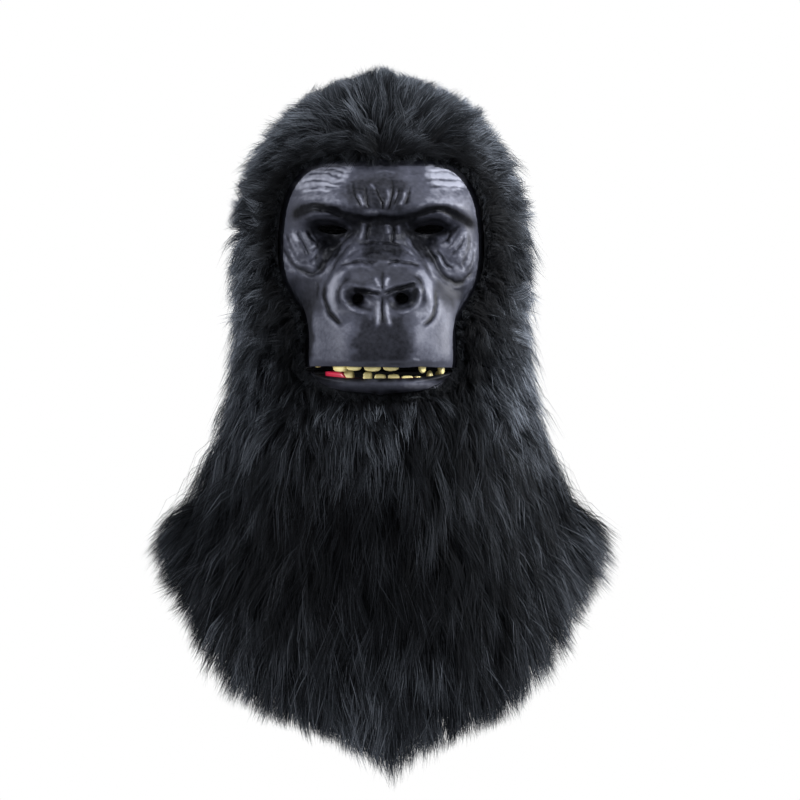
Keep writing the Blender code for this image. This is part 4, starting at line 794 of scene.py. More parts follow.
LINES = (  # half width in mm, tone, strength, the line's points in mm
    # The first three lines are the painted shadow under the brow ridge.
    (4.8, 0.0, 1.0, [(-73.0, -101.0), (-66.0, -96.0), (-58.0, -93.0), (-48.5, -93.5), (-39.0, -95.5), (-29.5, -99.0)]),
    (3.4, 0.0, 1.0, [(-32.5, -98.5), (-17.5, -101.0), (-4.0, -102.0), (6.5, -102.0), (20.0, -100.5), (31.0, -98.0)]),
    (4.2, 0.0, 1.0, [(29.5, -98.0), (39.0, -95.0), (48.5, -94.0), (56.5, -95.5), (64.5, -99.5), (72.5, -104.0), (79.5, -108.5)]),
    (0.9, 0.4, 0.8, [(-54.0, -98.0), (-47.0, -97.5), (-39.0, -98.0)]),
    (1.2, 0.3, 0.8, [(-58.0, -102.0), (-47.0, -100.5), (-33.5, -102.0)]),
    (1.2, 0.3, 0.8, [(31.0, -101.0), (41.5, -99.0), (51.0, -100.0)]),
    (1.1, 0.52, 0.8, [(52.5, -103.0), (58.0, -104.5), (61.0, -107.5)]),
    (0.9, 0.46, 0.8, [(-78.0, -106.0), (-69.0, -103.5), (-58.0, -103.0)]),
    (1.0, 0.5, 0.8, [(-26.5, -106.5), (-24.0, -110.0), (-25.5, -114.0)]),
    # Painted shade round the eye slits and at their inner corners.
    (3.6, 0.0, 1.0, [(-55.5, -108.5), (-42.0, -111.0), (-28.5, -112.5), (-21.0, -110.5)]),
    (3.6, 0.0, 1.0, [(23.0, -112.5), (33.5, -112.0), (44.5, -110.5), (54.0, -108.0)]),
    (2.0, 0.05, 0.9, [(-25.0, -103.5), (-21.5, -108.5), (-23.0, -116.5)]),
    (2.0, 0.05, 0.9, [(21.5, -103.5), (23.5, -108.5), (26.0, -116.5)]),
    (1.7, 0.78, 0.8, [(-72.0, -111.5), (-69.5, -115.5), (-67.5, -120.0)]),
    (1.4, 0.7, 0.8, [(-63.0, -110.5), (-60.0, -115.5), (-57.5, -120.0)]),
    (1.2, 0.66, 0.7, [(-58.0, -125.5), (-52.5, -122.5)]),
    (2.2, 0.55, 0.7, [(-74.0, -127.5), (-71.0, -134.0), (-64.5, -140.5)]),
    (1.2, 0.55, 0.8, [(-80.0, -111.5), (-79.5, -125.0), (-76.0, -137.0)]),
    (1.2, 0.55, 0.7, [(-56.5, -132.0), (-52.5, -130.0)]),
    (1.1, 0.08, 0.9, [(-66.5, -119.5), (-63.0, -125.5), (-59.5, -132.0)]),
    (1.0, 0.08, 0.8, [(-56.5, -114.0), (-54.0, -119.0), (-51.0, -119.5)]),
    (1.6, 0.8, 0.8, [(68.5, -110.5), (66.5, -117.5)]),
    (1.6, 0.76, 0.8, [(75.5, -119.5), (74.0, -130.0), (70.5, -138.5)]),
    (2.0, 0.7, 0.7, [(59.0, -138.5), (63.0, -143.0), (68.5, -142.5)]),
    (1.4, 0.68, 0.8, [(46.5, -121.5), (53.0, -125.0)]),
    (1.2, 0.66, 0.8, [(46.5, -133.0), (51.0, -137.0)]),
    (1.6, 0.72, 0.7, [(56.5, -119.5), (55.0, -126.0)]),
    (1.8, 0.68, 0.7, [(65.5, -127.5), (62.0, -135.5)]),
    (1.3, 0.5, 0.8, [(45.5, -116.5), (52.5, -114.5)]),
    (1.2, 0.08, 0.9, [(62.0, -108.5), (58.0, -113.5), (54.0, -117.5), (56.5, -121.5)]),
    (1.1, 0.1, 0.8, [(58.5, -130.0), (64.5, -124.0), (68.0, -116.5)]),
    (1.1, 0.1, 0.8, [(48.5, -130.0), (54.0, -137.0), (52.5, -141.0)]),
    (2.0, 0.62, 0.8, [(-19.5, -123.5), (-24.5, -129.5), (-29.0, -137.0)]),
    (1.8, 0.6, 0.8, [(20.0, -123.5), (25.0, -129.0), (29.0, -135.5)]),
    (1.0, 0.58, 0.8, [(-35.0, -126.0), (-40.5, -134.0), (-46.5, -141.0)]),
    (1.0, 0.55, 0.8, [(32.5, -127.5), (37.0, -137.0), (40.5, -143.5)]),
    (1.6, 0.55, 0.85, [(-13.0, -104.0), (-14.5, -111.5), (-17.0, -119.5)]),
    (1.6, 0.52, 0.85, [(4.5, -105.5), (6.0, -114.0)]),
    (1.4, 0.46, 0.8, [(14.0, -106.5), (15.5, -114.5)]),
    (1.1, 0.42, 0.8, [(20.0, -104.5), (22.5, -110.0)]),
    (1.3, 0.1, 0.8, [(9.5, -107.5), (10.0, -115.5), (9.0, -121.0)]),
    (1.5, 0.6, 0.85, [(-18.0, -81.5), (-16.0, -87.0), (-14.0, -92.0)]),
    (1.2, 0.52, 0.8, [(-8.5, -73.5), (-4.0, -78.0)]),
    (1.3, 0.55, 0.8, [(5.5, -77.0), (6.0, -84.5), (4.0, -92.0)]),
    (1.5, 0.62, 0.85, [(19.5, -79.5), (18.0, -86.0), (15.5, -92.0)]),
    (1.1, 0.48, 0.8, [(13.0, -79.5), (10.0, -86.0)]),
    (1.0, 0.44, 0.7, [(12.0, -90.5), (9.5, -95.0)]),
    (1.0, 0.95, 0.8, [(-64.0, -79.5), (-52.5, -78.5), (-39.0, -79.5)]),
    (1.3, 0.92, 0.75, [(-64.5, -72.5), (-59.5, -70.5), (-52.5, -69.0)]),
    (1.0, 0.85, 0.7, [(-48.5, -66.5), (-39.0, -65.5), (-28.5, -67.0)]),
    (1.0, 0.85, 0.7, [(-54.0, -74.5), (-42.0, -74.0), (-31.0, -76.5)]),
    (1.2, 1.0, 0.8, [(43.0, -68.0), (52.5, -67.0), (63.0, -69.5)]),
    (1.2, 1.0, 0.8, [(41.5, -73.0), (54.0, -72.5), (64.5, -74.0)]),
    (1.2, 0.95, 0.7, [(44.5, -61.5), (54.0, -60.5), (62.0, -63.0)]),
    (1.0, 0.85, 0.7, [(43.0, -78.5), (52.5, -77.5), (62.0, -78.5)]),
    (0.8, 0.6, 0.6, [(-5.5, -64.0), (4.0, -63.0), (13.5, -64.5)]),
    (1.4, 0.62, 0.8, [(-29.0, -144.5), (-35.0, -148.5), (-38.0, -154.0)]),
    (1.6, 0.4, 0.7, [(-23.0, -141.0), (-15.0, -140.0), (-7.0, -140.5)]),
    (1.6, 0.46, 0.7, [(9.5, -140.0), (19.0, -139.0), (27.0, -140.5)]),
    # Pale lines on the nose's wings: partly paint, partly painted highlight.
    (2.7, 0.68, 0.85, [(-33.5, -178.5), (-38.5, -170.0), (-40.0, -162.0), (-38.5, -154.0), (-33.5, -147.5)]),
    (3.0, 0.58, 0.9, [(36.5, -178.5), (39.5, -170.5), (40.0, -162.5), (38.5, -153.5), (34.5, -147.5), (27.5, -144.0)]),
    (1.5, 0.52, 0.8, [(-31.5, -158.5), (-31.0, -164.0), (-27.5, -170.0)]),
    # Painted shade in the nostrils' hollows.
    (2.0, 0.02, 0.9, [(-22.5, -166.0), (-18.0, -171.5), (-12.0, -174.5), (-6.0, -176.0)]),
    (2.2, 0.02, 0.9, [(8.0, -173.0), (15.0, -174.5), (23.0, -172.5), (27.5, -167.0), (27.0, -159.5)]),
    (1.1, 0.6, 0.8, [(30.5, -158.0), (32.5, -162.0), (31.5, -169.5), (28.0, -174.5)]),
    (0.9, 0.5, 0.7, [(23.5, -161.0), (25.5, -158.5)]),
    # Painted highlights on the nose's tip.
    (2.0, 0.6, 0.85, [(-5.0, -149.5), (-2.5, -153.5), (-1.0, -157.0)]),
    (1.8, 0.68, 0.85, [(6.5, -149.0), (5.0, -152.5), (3.5, -156.5)]),
    (0.9, 0.05, 0.9, [(1.5, -144.5), (1.5, -152.0), (1.5, -161.0)]),
    (2.4, 0.62, 0.95, [(-14.0, -165.0), (-9.0, -169.0), (-3.5, -172.0)]),
    (1.8, 0.52, 0.9, [(6.5, -165.0), (11.5, -168.5)]),
    (1.7, 0.7, 0.9, [(-1.5, -167.5), (-2.0, -178.5), (-3.0, -189.5)]),
    (1.6, 0.7, 0.9, [(5.0, -167.5), (5.5, -178.5), (7.5, -189.0)]),
    (0.8, 0.08, 0.9, [(1.5, -165.0), (1.5, -176.0), (1.5, -187.5)]),
    (1.2, 0.46, 0.8, [(-9.0, -178.0), (-8.0, -183.5)]),
    (1.0, 0.4, 0.7, [(-4.0, -165.0), (-0.5, -164.0)]),
    # Painted shade in the folds beside the nose's wings; the broad pale line among them is a painted highlight on the
    # ridge at +X.
    (1.9, 0.06, 0.9, [(-44.5, -150.5), (-45.5, -162.5), (-42.5, -173.5), (-37.0, -182.0), (-30.0, -188.0)]),
    (1.8, 0.1, 0.8, [(-51.0, -154.5), (-53.0, -165.0), (-54.5, -174.0)]),
    (1.6, 0.14, 0.85, [(43.0, -158.5), (44.5, -168.5), (41.5, -178.5), (36.5, -188.0)]),
    (3.6, 0.64, 0.8, [(46.5, -173.5), (51.0, -181.5), (53.0, -192.0)]),
    (1.6, 0.1, 0.8, [(51.0, -161.0), (56.5, -166.0), (58.5, -173.5)]),
    (1.6, 0.4, 0.7, [(41.5, -143.5), (48.5, -150.5), (58.0, -154.0)]),
    (1.3, 0.4, 0.7, [(-56.5, -217.5), (-31.0, -218.5), (1.5, -217.0), (29.5, -218.0), (56.5, -218.0)]),
    # A painted highlight on the upper lip's edge.
    (1.0, 0.85, 0.8, [(25.5, -215.0), (31.5, -215.5)]),
    (1.0, 0.05, 0.9, [(-44.5, -138.5), (-47.0, -143.5), (-52.5, -146.5)]),
    (1.4, 0.3, 0.7, [(-67.5, -143.0), (-58.0, -145.5), (-51.5, -144.5)]),
)

# %% Painting


def painted(x, z, relief):
    """The tone at places in metres. Each patch or line pulls it towards its own, in their order.

    Then what the fine relief raises grows paler, by 0.18 a millimetre times 0.3 + tone, and what it
    sinks grows darker, by 0.30 a millimetre: partly the wash and dry-brushing of the paint, partly
    painted shade in the creases and painted highlight on the ridges.
    """
    ragged = noise(x, z, 0.0090, 21) * 0.5 + noise(x, z, 0.0040, 22) * 0.35 + noise(x, z, 0.0018, 23) * 0.25
    xm = x * 1000 + 1.6 * noise(x, z, 0.006, 24)
    zm = z * 1000 + 1.6 * noise(x, z, 0.006, 25)
    tone = np.full(x.shape, 0.45)
    for at_x, at_z, wide, high, power, turn, target, strength in PATCHES:
        c, s = math.cos(turn), math.sin(turn)
        across, down = ((xm - at_x) * c + (zm - at_z) * s) / wide, ((zm - at_z) * c - (xm - at_x) * s) / high
        far = (np.abs(across) ** power + np.abs(down) ** power) ** (1 / power)
        share = strength * fade((1.22 - far) / 0.46 + 0.55 * ragged * np.exp(-((far - 1) / 0.3) ** 2))
        tone = tone + (target - tone) * share
    xm, zm = x * 1000 + 0.5 * noise(x, z, 0.004, 26), z * 1000 + 0.5 * noise(x, z, 0.004, 27)
    for width, target, strength, line in LINES:
        near, off, place = near_line(xm, zm, line, 2.4 * width)
        ends = fade(np.minimum(place, 1 - place) * 4 + 0.25)
        share = strength * ends * np.exp(-((off / width) ** 2) * 1.1) * (1 + 0.30 * ragged[near])
        tone[near] = tone[near] + (target - tone[near]) * share.clip(0, 1)
    worn = zone(x, z, 0, -78, 78, 20, 6) + zone(x, z, -67, -128, 17, 21, 4) + zone(x, z, 68, -128, 17, 22, 4) \
        + 0.7 * zone(x, z, 0, -130, 34, 26, 4)
    speck = noise(x, z, 0.0021, 28) * 0.6 + noise(x * 0.5, z, 0.0013, 29) * 0.6
    tone = tone + 0.13 * worn * speck * (0.4 + tone)
    # Raised places paler and sunk ones darker: part wash and dry-brush, part painted shade and highlight.
    lifted = relief * 1000
    tone = tone + np.where(lifted > 0, 0.18, 0.30) * lifted.clip(-1.6, 1.6) * (0.30 + tone)
    return tone.clip(0, 1.1)


def fine_relief(points):
    x, z = points[..., 0], points[..., 2]
    return strokes(x, z) + skin(x, z)


tone = painted(skin_grid[..., 0], skin_grid[..., 2], fine_relief(skin_grid))
attribute(face, "tone", np.concatenate([tone.reshape(-1), np.zeros(lining_grid[..., 0].size)]))
print("tone from", tone.min().round(2), "to", tone.max().round(2), "mean", tone.mean().round(2))

# %% [markdown]
# Eye slits and nostrils go right through, cut by bars along Y with the outline of the hole.

# %% Cutting the holes


def bar(name, outline):
    """A closed bar along Y from an outline of points in x and z."""
    n = len(outline)
    ring = np.stack([outline[:, 0], np.full(n, -0.19), outline[:, 1]], -1)
    points = np.concatenate([ring, ring + (0, 0.15, 0), [ring.mean(0)], [ring.mean(0) + (0, 0.15, 0)]])
    a, b = np.arange(n), np.roll(np.arange(n), -1)
    sides = np.stack([a, a + n, b + n, b], -1)
    caps = np.concatenate([np.stack([a, b, 2 * n + 0 * a], -1), np.stack([b + n, a + n, 2 * n + 1 + 0 * a], -1)])
    obj = object_from(name, points, [sides, caps], smooth_faces=False)
    return obj


def oval(x, z, wide, high, slant=0.0, point=1.0):
    """An oval outline in mm, with pointed ends where `point` is above 1."""
    a = np.linspace(0, 2 * np.pi, 40, endpoint=False)
    u, v = np.cos(a) * wide / 2, np.sign(np.sin(a)) * np.abs(np.sin(a)) ** point * high / 2
    c, s = math.cos(slant), math.sin(slant)
    return np.stack([x + u * c - v * s, z + u * s + v * c], -1) * MM


def cut(obj, outline):
    cutter = bar("cutter", outline)
    step = obj.modifiers.new("hole", "BOOLEAN")
    step.operation, step.solver, step.object = "DIFFERENCE", "EXACT", cutter
    bpy.context.view_layer.update()
    made = bpy.data.meshes.new_from_object(obj.evaluated_get(bpy.context.evaluated_depsgraph_get()))
    obj.modifiers.clear()
    obj.data = made
    bpy.data.objects.remove(cutter)


for hole in (oval(-39, -109.8, 24, 7.0, -0.10, 1.25), oval(39, -109.6, 24, 7.0, 0.10, 1.25),
             oval(-18.2, -166.0, 8.5, 8.0, 0.5), oval(17.2, -165.8, 9.5, 8.0, -0.4)):
    cut(face, hole)
print("face with holes", face_count(face), "triangles")

# %% The lower lip


def chin_edge(x):
    """The height of the opening's lower edge at this distance from the middle."""
    lower = OPENING[:, OPENING[0] > 0.85][:, ::-1]
    half = lower[1] * HALF_FACE + lower[2] * HALF_MUZZLE
    return CLOTH - FACE_TOP - (FACE_HEIGHT + JAW_HEIGHT) * smooth(half, lower[0], np.abs(x))


def jaw_points(t, s, fine):
    shown = np.minimum(t / 0.8, 1.0)
    points = section_points(JAW, shown, s, FACE_TOP + FACE_HEIGHT + MOUTH_GAP, 0.0)
    x = points[..., 0]
    lip = points[..., 2] + 0.006 * np.minimum(np.abs(x) / HALF_MUZZLE, 1) ** 3
    foot = np.minimum(chin_edge(x) + RIM_TUCK / 2, lip - CLOTH)
    z = lip + (foot - lip) * shown[:, None]
    if fine:
        z = z + (1 - shown[:, None]) * (0.0010 + 0.0004 * noise(x, z * 0, 0.012, 31))
    points[..., 2] = z
    if fine:
        roll = np.sin(np.pi * np.clip(shown, 0, 1))[:, None]
        points[..., 1] -= MM * (1.2 * roll + 0.35 * noise(x, z, 0.006, 32) + 0.12 * noise(x * 2, z, 0.002, 33)) * (np.abs(s) < 0.9)
    rim = np.abs(s) > STOPS[-2]
    turn, along = seen_under_cloth(np.abs(points[:, rim, 0]), points[:, rim, 2])
    edge = under_cloth(turn, along)
    edge[..., 0] *= np.sign(points[:, rim, 0])
    points[:, rim] = edge
    points[:, ~rim] = tucked(points[:, ~rim])
    last = t > 0.8
    turn, along = seen_under_cloth(np.abs(points[last, :, 0]), foot[last] - TUCK)
    hidden = under_cloth(turn, along)
    hidden[..., 0] *= np.sign(points[last, :, 0])
    points[last] = hidden
    return points


jaw_across = np.concatenate([[-1.0], np.linspace(-STOPS[-2], STOPS[-2], 119 + 40 * (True)), [1.0]])
jaw_down = np.concatenate([np.linspace(0, 0.8, 24), [1.0]])
jaw_grid = jaw_points(jaw_down, jaw_across, True)
jaw_plain = jaw_points(jaw_down[::2], jaw_across[::2], False)
jaw = moulded("lower_lip", jaw_grid, jaw_plain - normals_of(jaw_plain) * SHELL_WALL)
jx, jz = jaw_grid[..., 0], jaw_grid[..., 2]
# The lower lip: a pale band along the middle of its roll, palest towards +X, is painted highlight where the light
# falls; it is much darker along its top edge, and mottled.
jaw_tone = 0.10 + 0.24 * zone(jx, jz, 2, -236.5, 46, 3.0, 4) + 0.46 * zone(jx, jz, 35, -235.5, 21, 3.6, 3)
jaw_tone = jaw_tone * (1 - 0.75 * fade((jz + 0.2325) / 0.0022)) + 0.10 * noise(jx, jz, 0.005, 34) + 0.06 * noise(jx, jz, 0.002, 35)
attribute(jaw, "tone", np.concatenate([jaw_tone.reshape(-1).clip(0, 1), np.zeros(jaw_plain[..., 0].size)]))
print("lower lip", face_count(jaw), "triangles")

# %% [markdown]
# The paint turns the tone, painted light and shade included, into a colour and breaks it up with a
# fine mottle. Black wash and painted shade are duller than the rubbed and painted highlights. Fine
# bumps break the shine.

# %% Skin material


def skin_material():
    paint = Shader("painted_skin", IOR=1.45, Specular_IOR_Level=0.24, Specular_Tint=(0.82, 0.86, 1.0, 1.0))
    mottle, cloud = paint.noise(330, detail=4.0), paint.noise(95, detail=3.0)
    tone = paint.attribute("tone") + (mottle - 0.5) * 0.22 + (cloud - 0.5) * 0.16
    low = paint.colour((tone * 2.0).clip(), (0.0026, 0.0028, 0.0042), (0.062, 0.066, 0.091))
    colour = paint.colour((tone * 2.0 - 1.0).clip(), low, (0.300, 0.314, 0.385))
    paint.feed(Base_Color=colour, Roughness=0.50 - tone * 0.14 + (mottle - 0.5) * 0.20)
    paint.bump(mottle * 0.6 + paint.noise(750, detail=2.0) * 0.5, 0.00028, 0.6)
    return paint.material


face.data.materials.clear()
face.data.materials.append(skin_material())
jaw.data.materials.append(face.data.materials[0])
for obj, node in ((face, "face_shell"), (jaw, "jaw_shell")):
    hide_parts(node)
    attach(obj, "root")

# %% [markdown]
# ## Teeth and gums
#
# Each tooth is a rounded block that stands in its gum, a little worn and none like the next. Gums
# are soft bars that follow the lip's curve inside it.

# %% Gums and teeth


def lip_curve(table, top_drop, height, t, inset):
    """The lip seen from above, as a line of points moved into the mouth."""
    s = np.linspace(-STOPS[4], STOPS[4], 161)
    row = section_points(table, np.array([t]), s, top_drop, height)[0]
    if table is FACE:
        row[:, 1] -= swellings(row[:, 0], row[:, 2])
    way = unit(np.gradient(row[:, :2], axis=0))
    return row[:, :2] + np.stack([-way[:, 1], way[:, 0]], -1) * inset


UPPER_LINE = lip_curve(FACE, FACE_TOP, FACE_HEIGHT, 0.985, 0.0030)
LOWER_LINE = lip_curve(JAW, FACE_TOP + FACE_HEIGHT + MOUTH_GAP, 0.0, 0.1, 0.0042)


def on_line(line, x):
    """The point of a lip's line at this x, and its direction there."""
    y = np.interp(x, line[:, 0], line[:, 1])
    ahead = np.interp(x + 0.001, line[:, 0], line[:, 1])
    return np.stack([x, y], -1), unit(np.stack([np.full(np.shape(x), 0.001), ahead - y], -1))


def rounded_block(u, v, width, depth, length, taper, power):
    """A block with soft edges: each section is a superellipse, narrower towards the tip."""
    c, s = np.cos(u), np.sin(u)
    radius = (np.abs(c) ** power + np.abs(s) ** power) ** (-1 / power)
    close = np.clip(1 - np.clip((v - 0.72) / 0.28, 0, 1) ** 2.2, 0, 1) ** 0.5
    narrow = (1 - (1 - taper) * v**1.3) * close
    return np.stack([radius * c * width / 2 * narrow, radius * s * depth / 2 * narrow, v * length], -1)


TEETH = (  # CAD node, x of the middle, root and tip heights, width, taper, lean, power: mm
    ("upper_molar_right", -54.0, -213.0, -221.6, 8.5, 0.80, -0.10, 3.0),
    ("upper_canine_right", -34.8, -214.5, -225.2, 12.6, 0.94, 0.03, 5.0),
    ("upper_premolar_right", -21.7, -214.5, -224.2, 12.8, 0.90, -0.05, 4.5),
    ("upper_incisor_right", -6.8, -214.5, -224.9, 14.2, 0.92, 0.02, 5.5),
    ("upper_incisor_left", 8.6, -214.5, -224.4, 14.0, 0.86, -0.06, 4.5),
    ("upper_canine_left", 35.3, -215.5, -226.0, 7.6, 0.62, 0.05, 3.0),
    ("upper_molar_left", 52.4, -215.0, -227.6, 8.4, 0.74, -0.10, 3.2),
    ("lower_canine_right", -25.8, -233.5, -222.6, 8.4, 0.88, -0.14, 4.2),
    ("lower_incisor_1", -10.8, -233.5, -224.3, 7.6, 0.92, 0.03, 4.5),
    ("lower_incisor_2", -0.7, -233.5, -226.4, 9.6, 0.94, 0.05, 5.0),
    ("lower_incisor_3", 10.7, -233.5, -226.5, 9.4, 0.94, -0.04, 5.0),
    ("lower_incisor_4", 21.8, -233.5, -227.7, 10.0, 0.92, 0.04, 5.0),
    ("lower_premolar_left", 31.4, -233.5, -228.0, 6.6, 0.90, 0.0, 4.0),
    ("lower_canine_left", 41.8, -233.5, -223.4, 7.2, 0.50, 0.04, 3.0),
    ("lower_molar_left", 48.8, -233.0, -223.6, 6.2, 0.66, 0.16, 3.0),
)


def tooth(node, x, root, tip, width, taper, lean, power):
    upper = node.startswith("upper")
    line = UPPER_LINE if upper else LOWER_LINE
    u, v = np.meshgrid(np.linspace(0, 2 * np.pi, 32, endpoint=False), np.linspace(0, 1, 18))
    local = rounded_block(u, v, width * MM, 0.0056, abs(tip - root) * MM, taper, power)
    local[..., 0] += lean * local[..., 2]
    seat, way = on_line(line, np.array(x * MM))
    inward = np.array([-way[1], way[0]])
    x_y = seat + local[..., :1] * way + (local[..., 1:2] + 0.0038) * inward
    z = root * MM + local[..., 2] * (-1 if upper else 1)
    points = np.concatenate([np.concatenate([x_y, z[..., None]], -1).reshape(-1, 3),
                             [[*(seat + 0.0038 * inward), root * MM]]])
    ring = np.arange(32)
    top = np.stack([np.roll(ring, -1), ring, np.full(32, len(points) - 1)], -1)
    faces = grid_faces(18, 32, ring=True)
    if upper:
        faces, top = faces[:, ::-1], top[:, ::-1]
    obj = object_from(node + "_crown", points, [faces[:, ::-1], top[:, ::-1]])
    attribute(obj, "rise", np.concatenate([v.reshape(-1), [0.0]]))
    return obj


def gum(name, line, low, high, reach):
    """A soft bar along the lip's line, closed at both ends."""
    x = np.linspace(-reach, reach, 90)
    seat, way = on_line(line, x)
    inward = np.stack([-way[:, 1], way[:, 0]], -1)
    a = np.linspace(0, 2 * np.pi, 24, endpoint=False)
    small = np.sqrt(np.clip(1 - np.linspace(-1, 1, 90) ** 10, 0.0, 1))
    across = np.sign(np.cos(a)) * np.abs(np.cos(a)) ** 0.7 * 0.0052
    up = np.sign(np.sin(a)) * np.abs(np.sin(a)) ** 0.7 * (high - low) / 2
    up = up[None, :] * (1 + 0.12 * noise(x, x * 0, 0.006, 41))[:, None]
    lower = name.startswith("lower")
    x_y = seat[:, None] + (across[None, :, None] * small[:, None, None] + (0.0048 if lower else 0.0085)) * inward[:, None]
    swell = 0.0042 * fade((-0.0275 - x) / 0.004) if lower else 0 * x
    z = (low + high) / 2 + up * small[:, None] + swell[:, None] * (up > 0)
    z = z + (0.006 * np.abs(x / HALF_MUZZLE) ** 3)[:, None] * lower
    return object_from(name, np.concatenate([x_y, z[..., None]], -1).reshape(-1, 3), [grid_faces(90, 24, ring=True)])


def enamel_material():
    ivory = Shader("painted_ivory", IOR=1.5, Coat_Weight=0.25, Coat_Roughness=0.12)
    rise, mottle = ivory.attribute("rise"), ivory.noise(260, detail=3.0)
    body = ivory.colour((mottle - 0.3) * 1.4, (0.93, 0.83, 0.40), (0.80, 0.66, 0.25))
    # Each tooth turns browner and darker towards its root.
    rootward_dark = (1.0 - rise.step(0.10, 0.40) + (mottle - 0.5) * 0.5).clip()
    ivory.feed(Base_Color=ivory.colour(rootward_dark * 0.6, body, (0.22, 0.15, 0.06)), Roughness=0.26 + mottle * 0.12)
    ivory.bump(mottle, 0.0002, 0.5)
    return ivory.material


def gum_material(name, first, second):
    red = Shader(name, IOR=1.45, Coat_Weight=0.5, Coat_Roughness=0.15)
    place = red.node("SeparateXYZ", output="X", Vector=red.object_place())
    mottle = red.noise(300, detail=3.0)
    # The colour runs from the first to the second between x = -34 and -20 mm: the lower gum is red at its -X end and
    # dark red beyond, the upper gum near black all along.
    red.feed(Base_Color=red.colour(place.step(-0.034, -0.020), first, second), Roughness=0.28 + mottle * 0.15)
    red.bump(mottle, 0.0003, 0.6)
    return red.material


enamel = enamel_material()
teeth = []
for row in TEETH:
    made = tooth(*row)
    made.data.materials.append(enamel)
    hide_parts(row[0])
    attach(made, "root")
    teeth.append(made)
gums = (
    ("upper_gum", gum("upper_gum_bar", UPPER_LINE, -0.2195, -0.2140, 0.0545), "gum_dark", (0.020, 0.004, 0.005), (0.008, 0.003, 0.004)),
    ("lower_gum", gum("lower_gum_bar", LOWER_LINE, -0.2350, -0.2297, 0.0475), "gum_red", (0.62, 0.016, 0.060), (0.050, 0.006, 0.010)),
)
for node, obj, name, first, second in gums:
    obj.data.materials.append(gum_material(name, first, second))
    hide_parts(node)
    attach(obj, "root")
print("teeth", sum(face_count(o) for o in teeth), "triangles")

# %% [markdown]
# ## Cloth
#
# Both panels are the knitted backing of the pile. They keep the solids' own shape and get a knit in
# their material: rows of small loops, read from the angle round the head and the height.

# %% Knitted cloth


def knit_material():
    knit = Shader("knitted_backing", Roughness=0.9, IOR=1.4)
    place = knit.object_place()
    x, y, z = (knit.node("SeparateXYZ", output=axis, Vector=place) for axis in "XYZ")
    angle = knit.node("Math", settings={"operation": "ARCTAN2"}, _0=x, _1=y)
    wale = (angle * 220.0).math("SINE", angle * 220.0)
    course = (z * 2400.0).math("SINE", z * 2400.0 + wale * 1.2)
    loops = wale * course * 0.25 + course * 0.25 + 0.5
    fuzz = knit.noise(900, detail=2.0)
    knit.feed(Base_Color=knit.colour(loops * 0.6 + fuzz * 0.3, (0.010, 0.010, 0.012), (0.038, 0.040, 0.046)))
    knit.bump(loops + fuzz * 0.4, 0.0006, 0.7)
    return knit.material


knit = knit_material()
FLAT = {"hood_cloth": (0.60, 0.30), "cape_cloth": (0.90, 0.30)}
for name, flat in FLAT.items():
    panel = frame["nodes"][name]
    panel.data.materials.clear()
    panel.data.materials.append(knit)
    mesh = panel.data
    area = np.zeros(len(mesh.polygons))
    mesh.polygons.foreach_get("area", area)
    half = float(area.sum()) / 2
    print(name, "one side has", round(half, 4), "m2 of", round(flat[0] * flat[1], 4))

# %% [markdown]
# ## Fur
#
# Pile cloth is hair knitted into a backing. Here each hair is a narrow ribbon of five triangles that
# ends in a point. Roots are strewn evenly over the cloth. Each hair leaves the cloth upright and
# lies over into the way the pile is brushed: on the hood away from the forehead, on the cape down.
# Hairs near to one another lean to the same tip, which gives the locks.

# %% Roots, strewn over the cloth

rng = np.random.default_rng(7)


def strew(count, first, last, sink=0.0):
    """Random roots on the cloth between two places along it, even by area, outside the face."""
    found_turn, found_along = [], []
    have = 0
    turns, alongs = np.meshgrid(np.linspace(-np.pi, np.pi, 121), np.linspace(first, last, 81))
    across, down, _ = cloth_slopes(turns, alongs)
    density = np.linalg.norm(np.cross(down, across), axis=-1)
    most = density.max()
    while have < count:
        turn = rng.uniform(-np.pi, np.pi, count * 2)
        along = rng.uniform(first, last, count * 2)
        at_t = (turn + np.pi) / (2 * np.pi) * 120
        at_a = (along - first) / (last - first) * 80
        i, j = at_a.astype(int).clip(0, 79), at_t.astype(int).clip(0, 119)
        keep = rng.uniform(0, most, count * 2) < density[i, j]
        turn, along = turn[keep], along[keep]
        points = cloth(turn, along)
        clear = (points[:, 1] > 0) | (beyond_opening(points[:, 0], points[:, 2]) > sink)
        found_turn.append(turn[clear])
        found_along.append(along[clear])
        have += int(clear.sum())
    return np.concatenate(found_turn)[:count], np.concatenate(found_along)[:count]


RIM = cloth(*seen_on_cloth(OUTLINE[::2, 0], OUTLINE[::2, 1]))


def from_rim(points):
    """The distance to the edge of the face opening."""
    near = np.full(len(points), np.inf)
    for rim in RIM:
        near = np.minimum(near, np.linalg.norm(points - rim, axis=-1))
    return near


def nearest(points, centres):
    """The number of the centre that lies nearest to each point."""
    found = np.empty(len(points), np.int64)
    c = centres.astype(np.float32)
    for start in range(0, len(points), 8192):
        p = points[start:start + 8192].astype(np.float32)
        d = (c * c).sum(1)[None] - 2 * p @ c.T
        found[start:start + 8192] = d.argmin(1)
    return found


# %% [markdown]
# The lie of the hair is a direction at each root. On the hood it points away from a spot at the top
# of the forehead, along the cloth, with a pull downwards that grows to the neck. On the cape it
# points down, and outwards at the shoulders.

# %% The lie of the hair
FOREHEAD, CHIN = np.array([0.0, -0.100, -0.050]), np.array([0.0, 0.0, -0.150])


def along_cloth(way, normal):
    return unit(way - normal * (way * normal).sum(-1, keepdims=True))


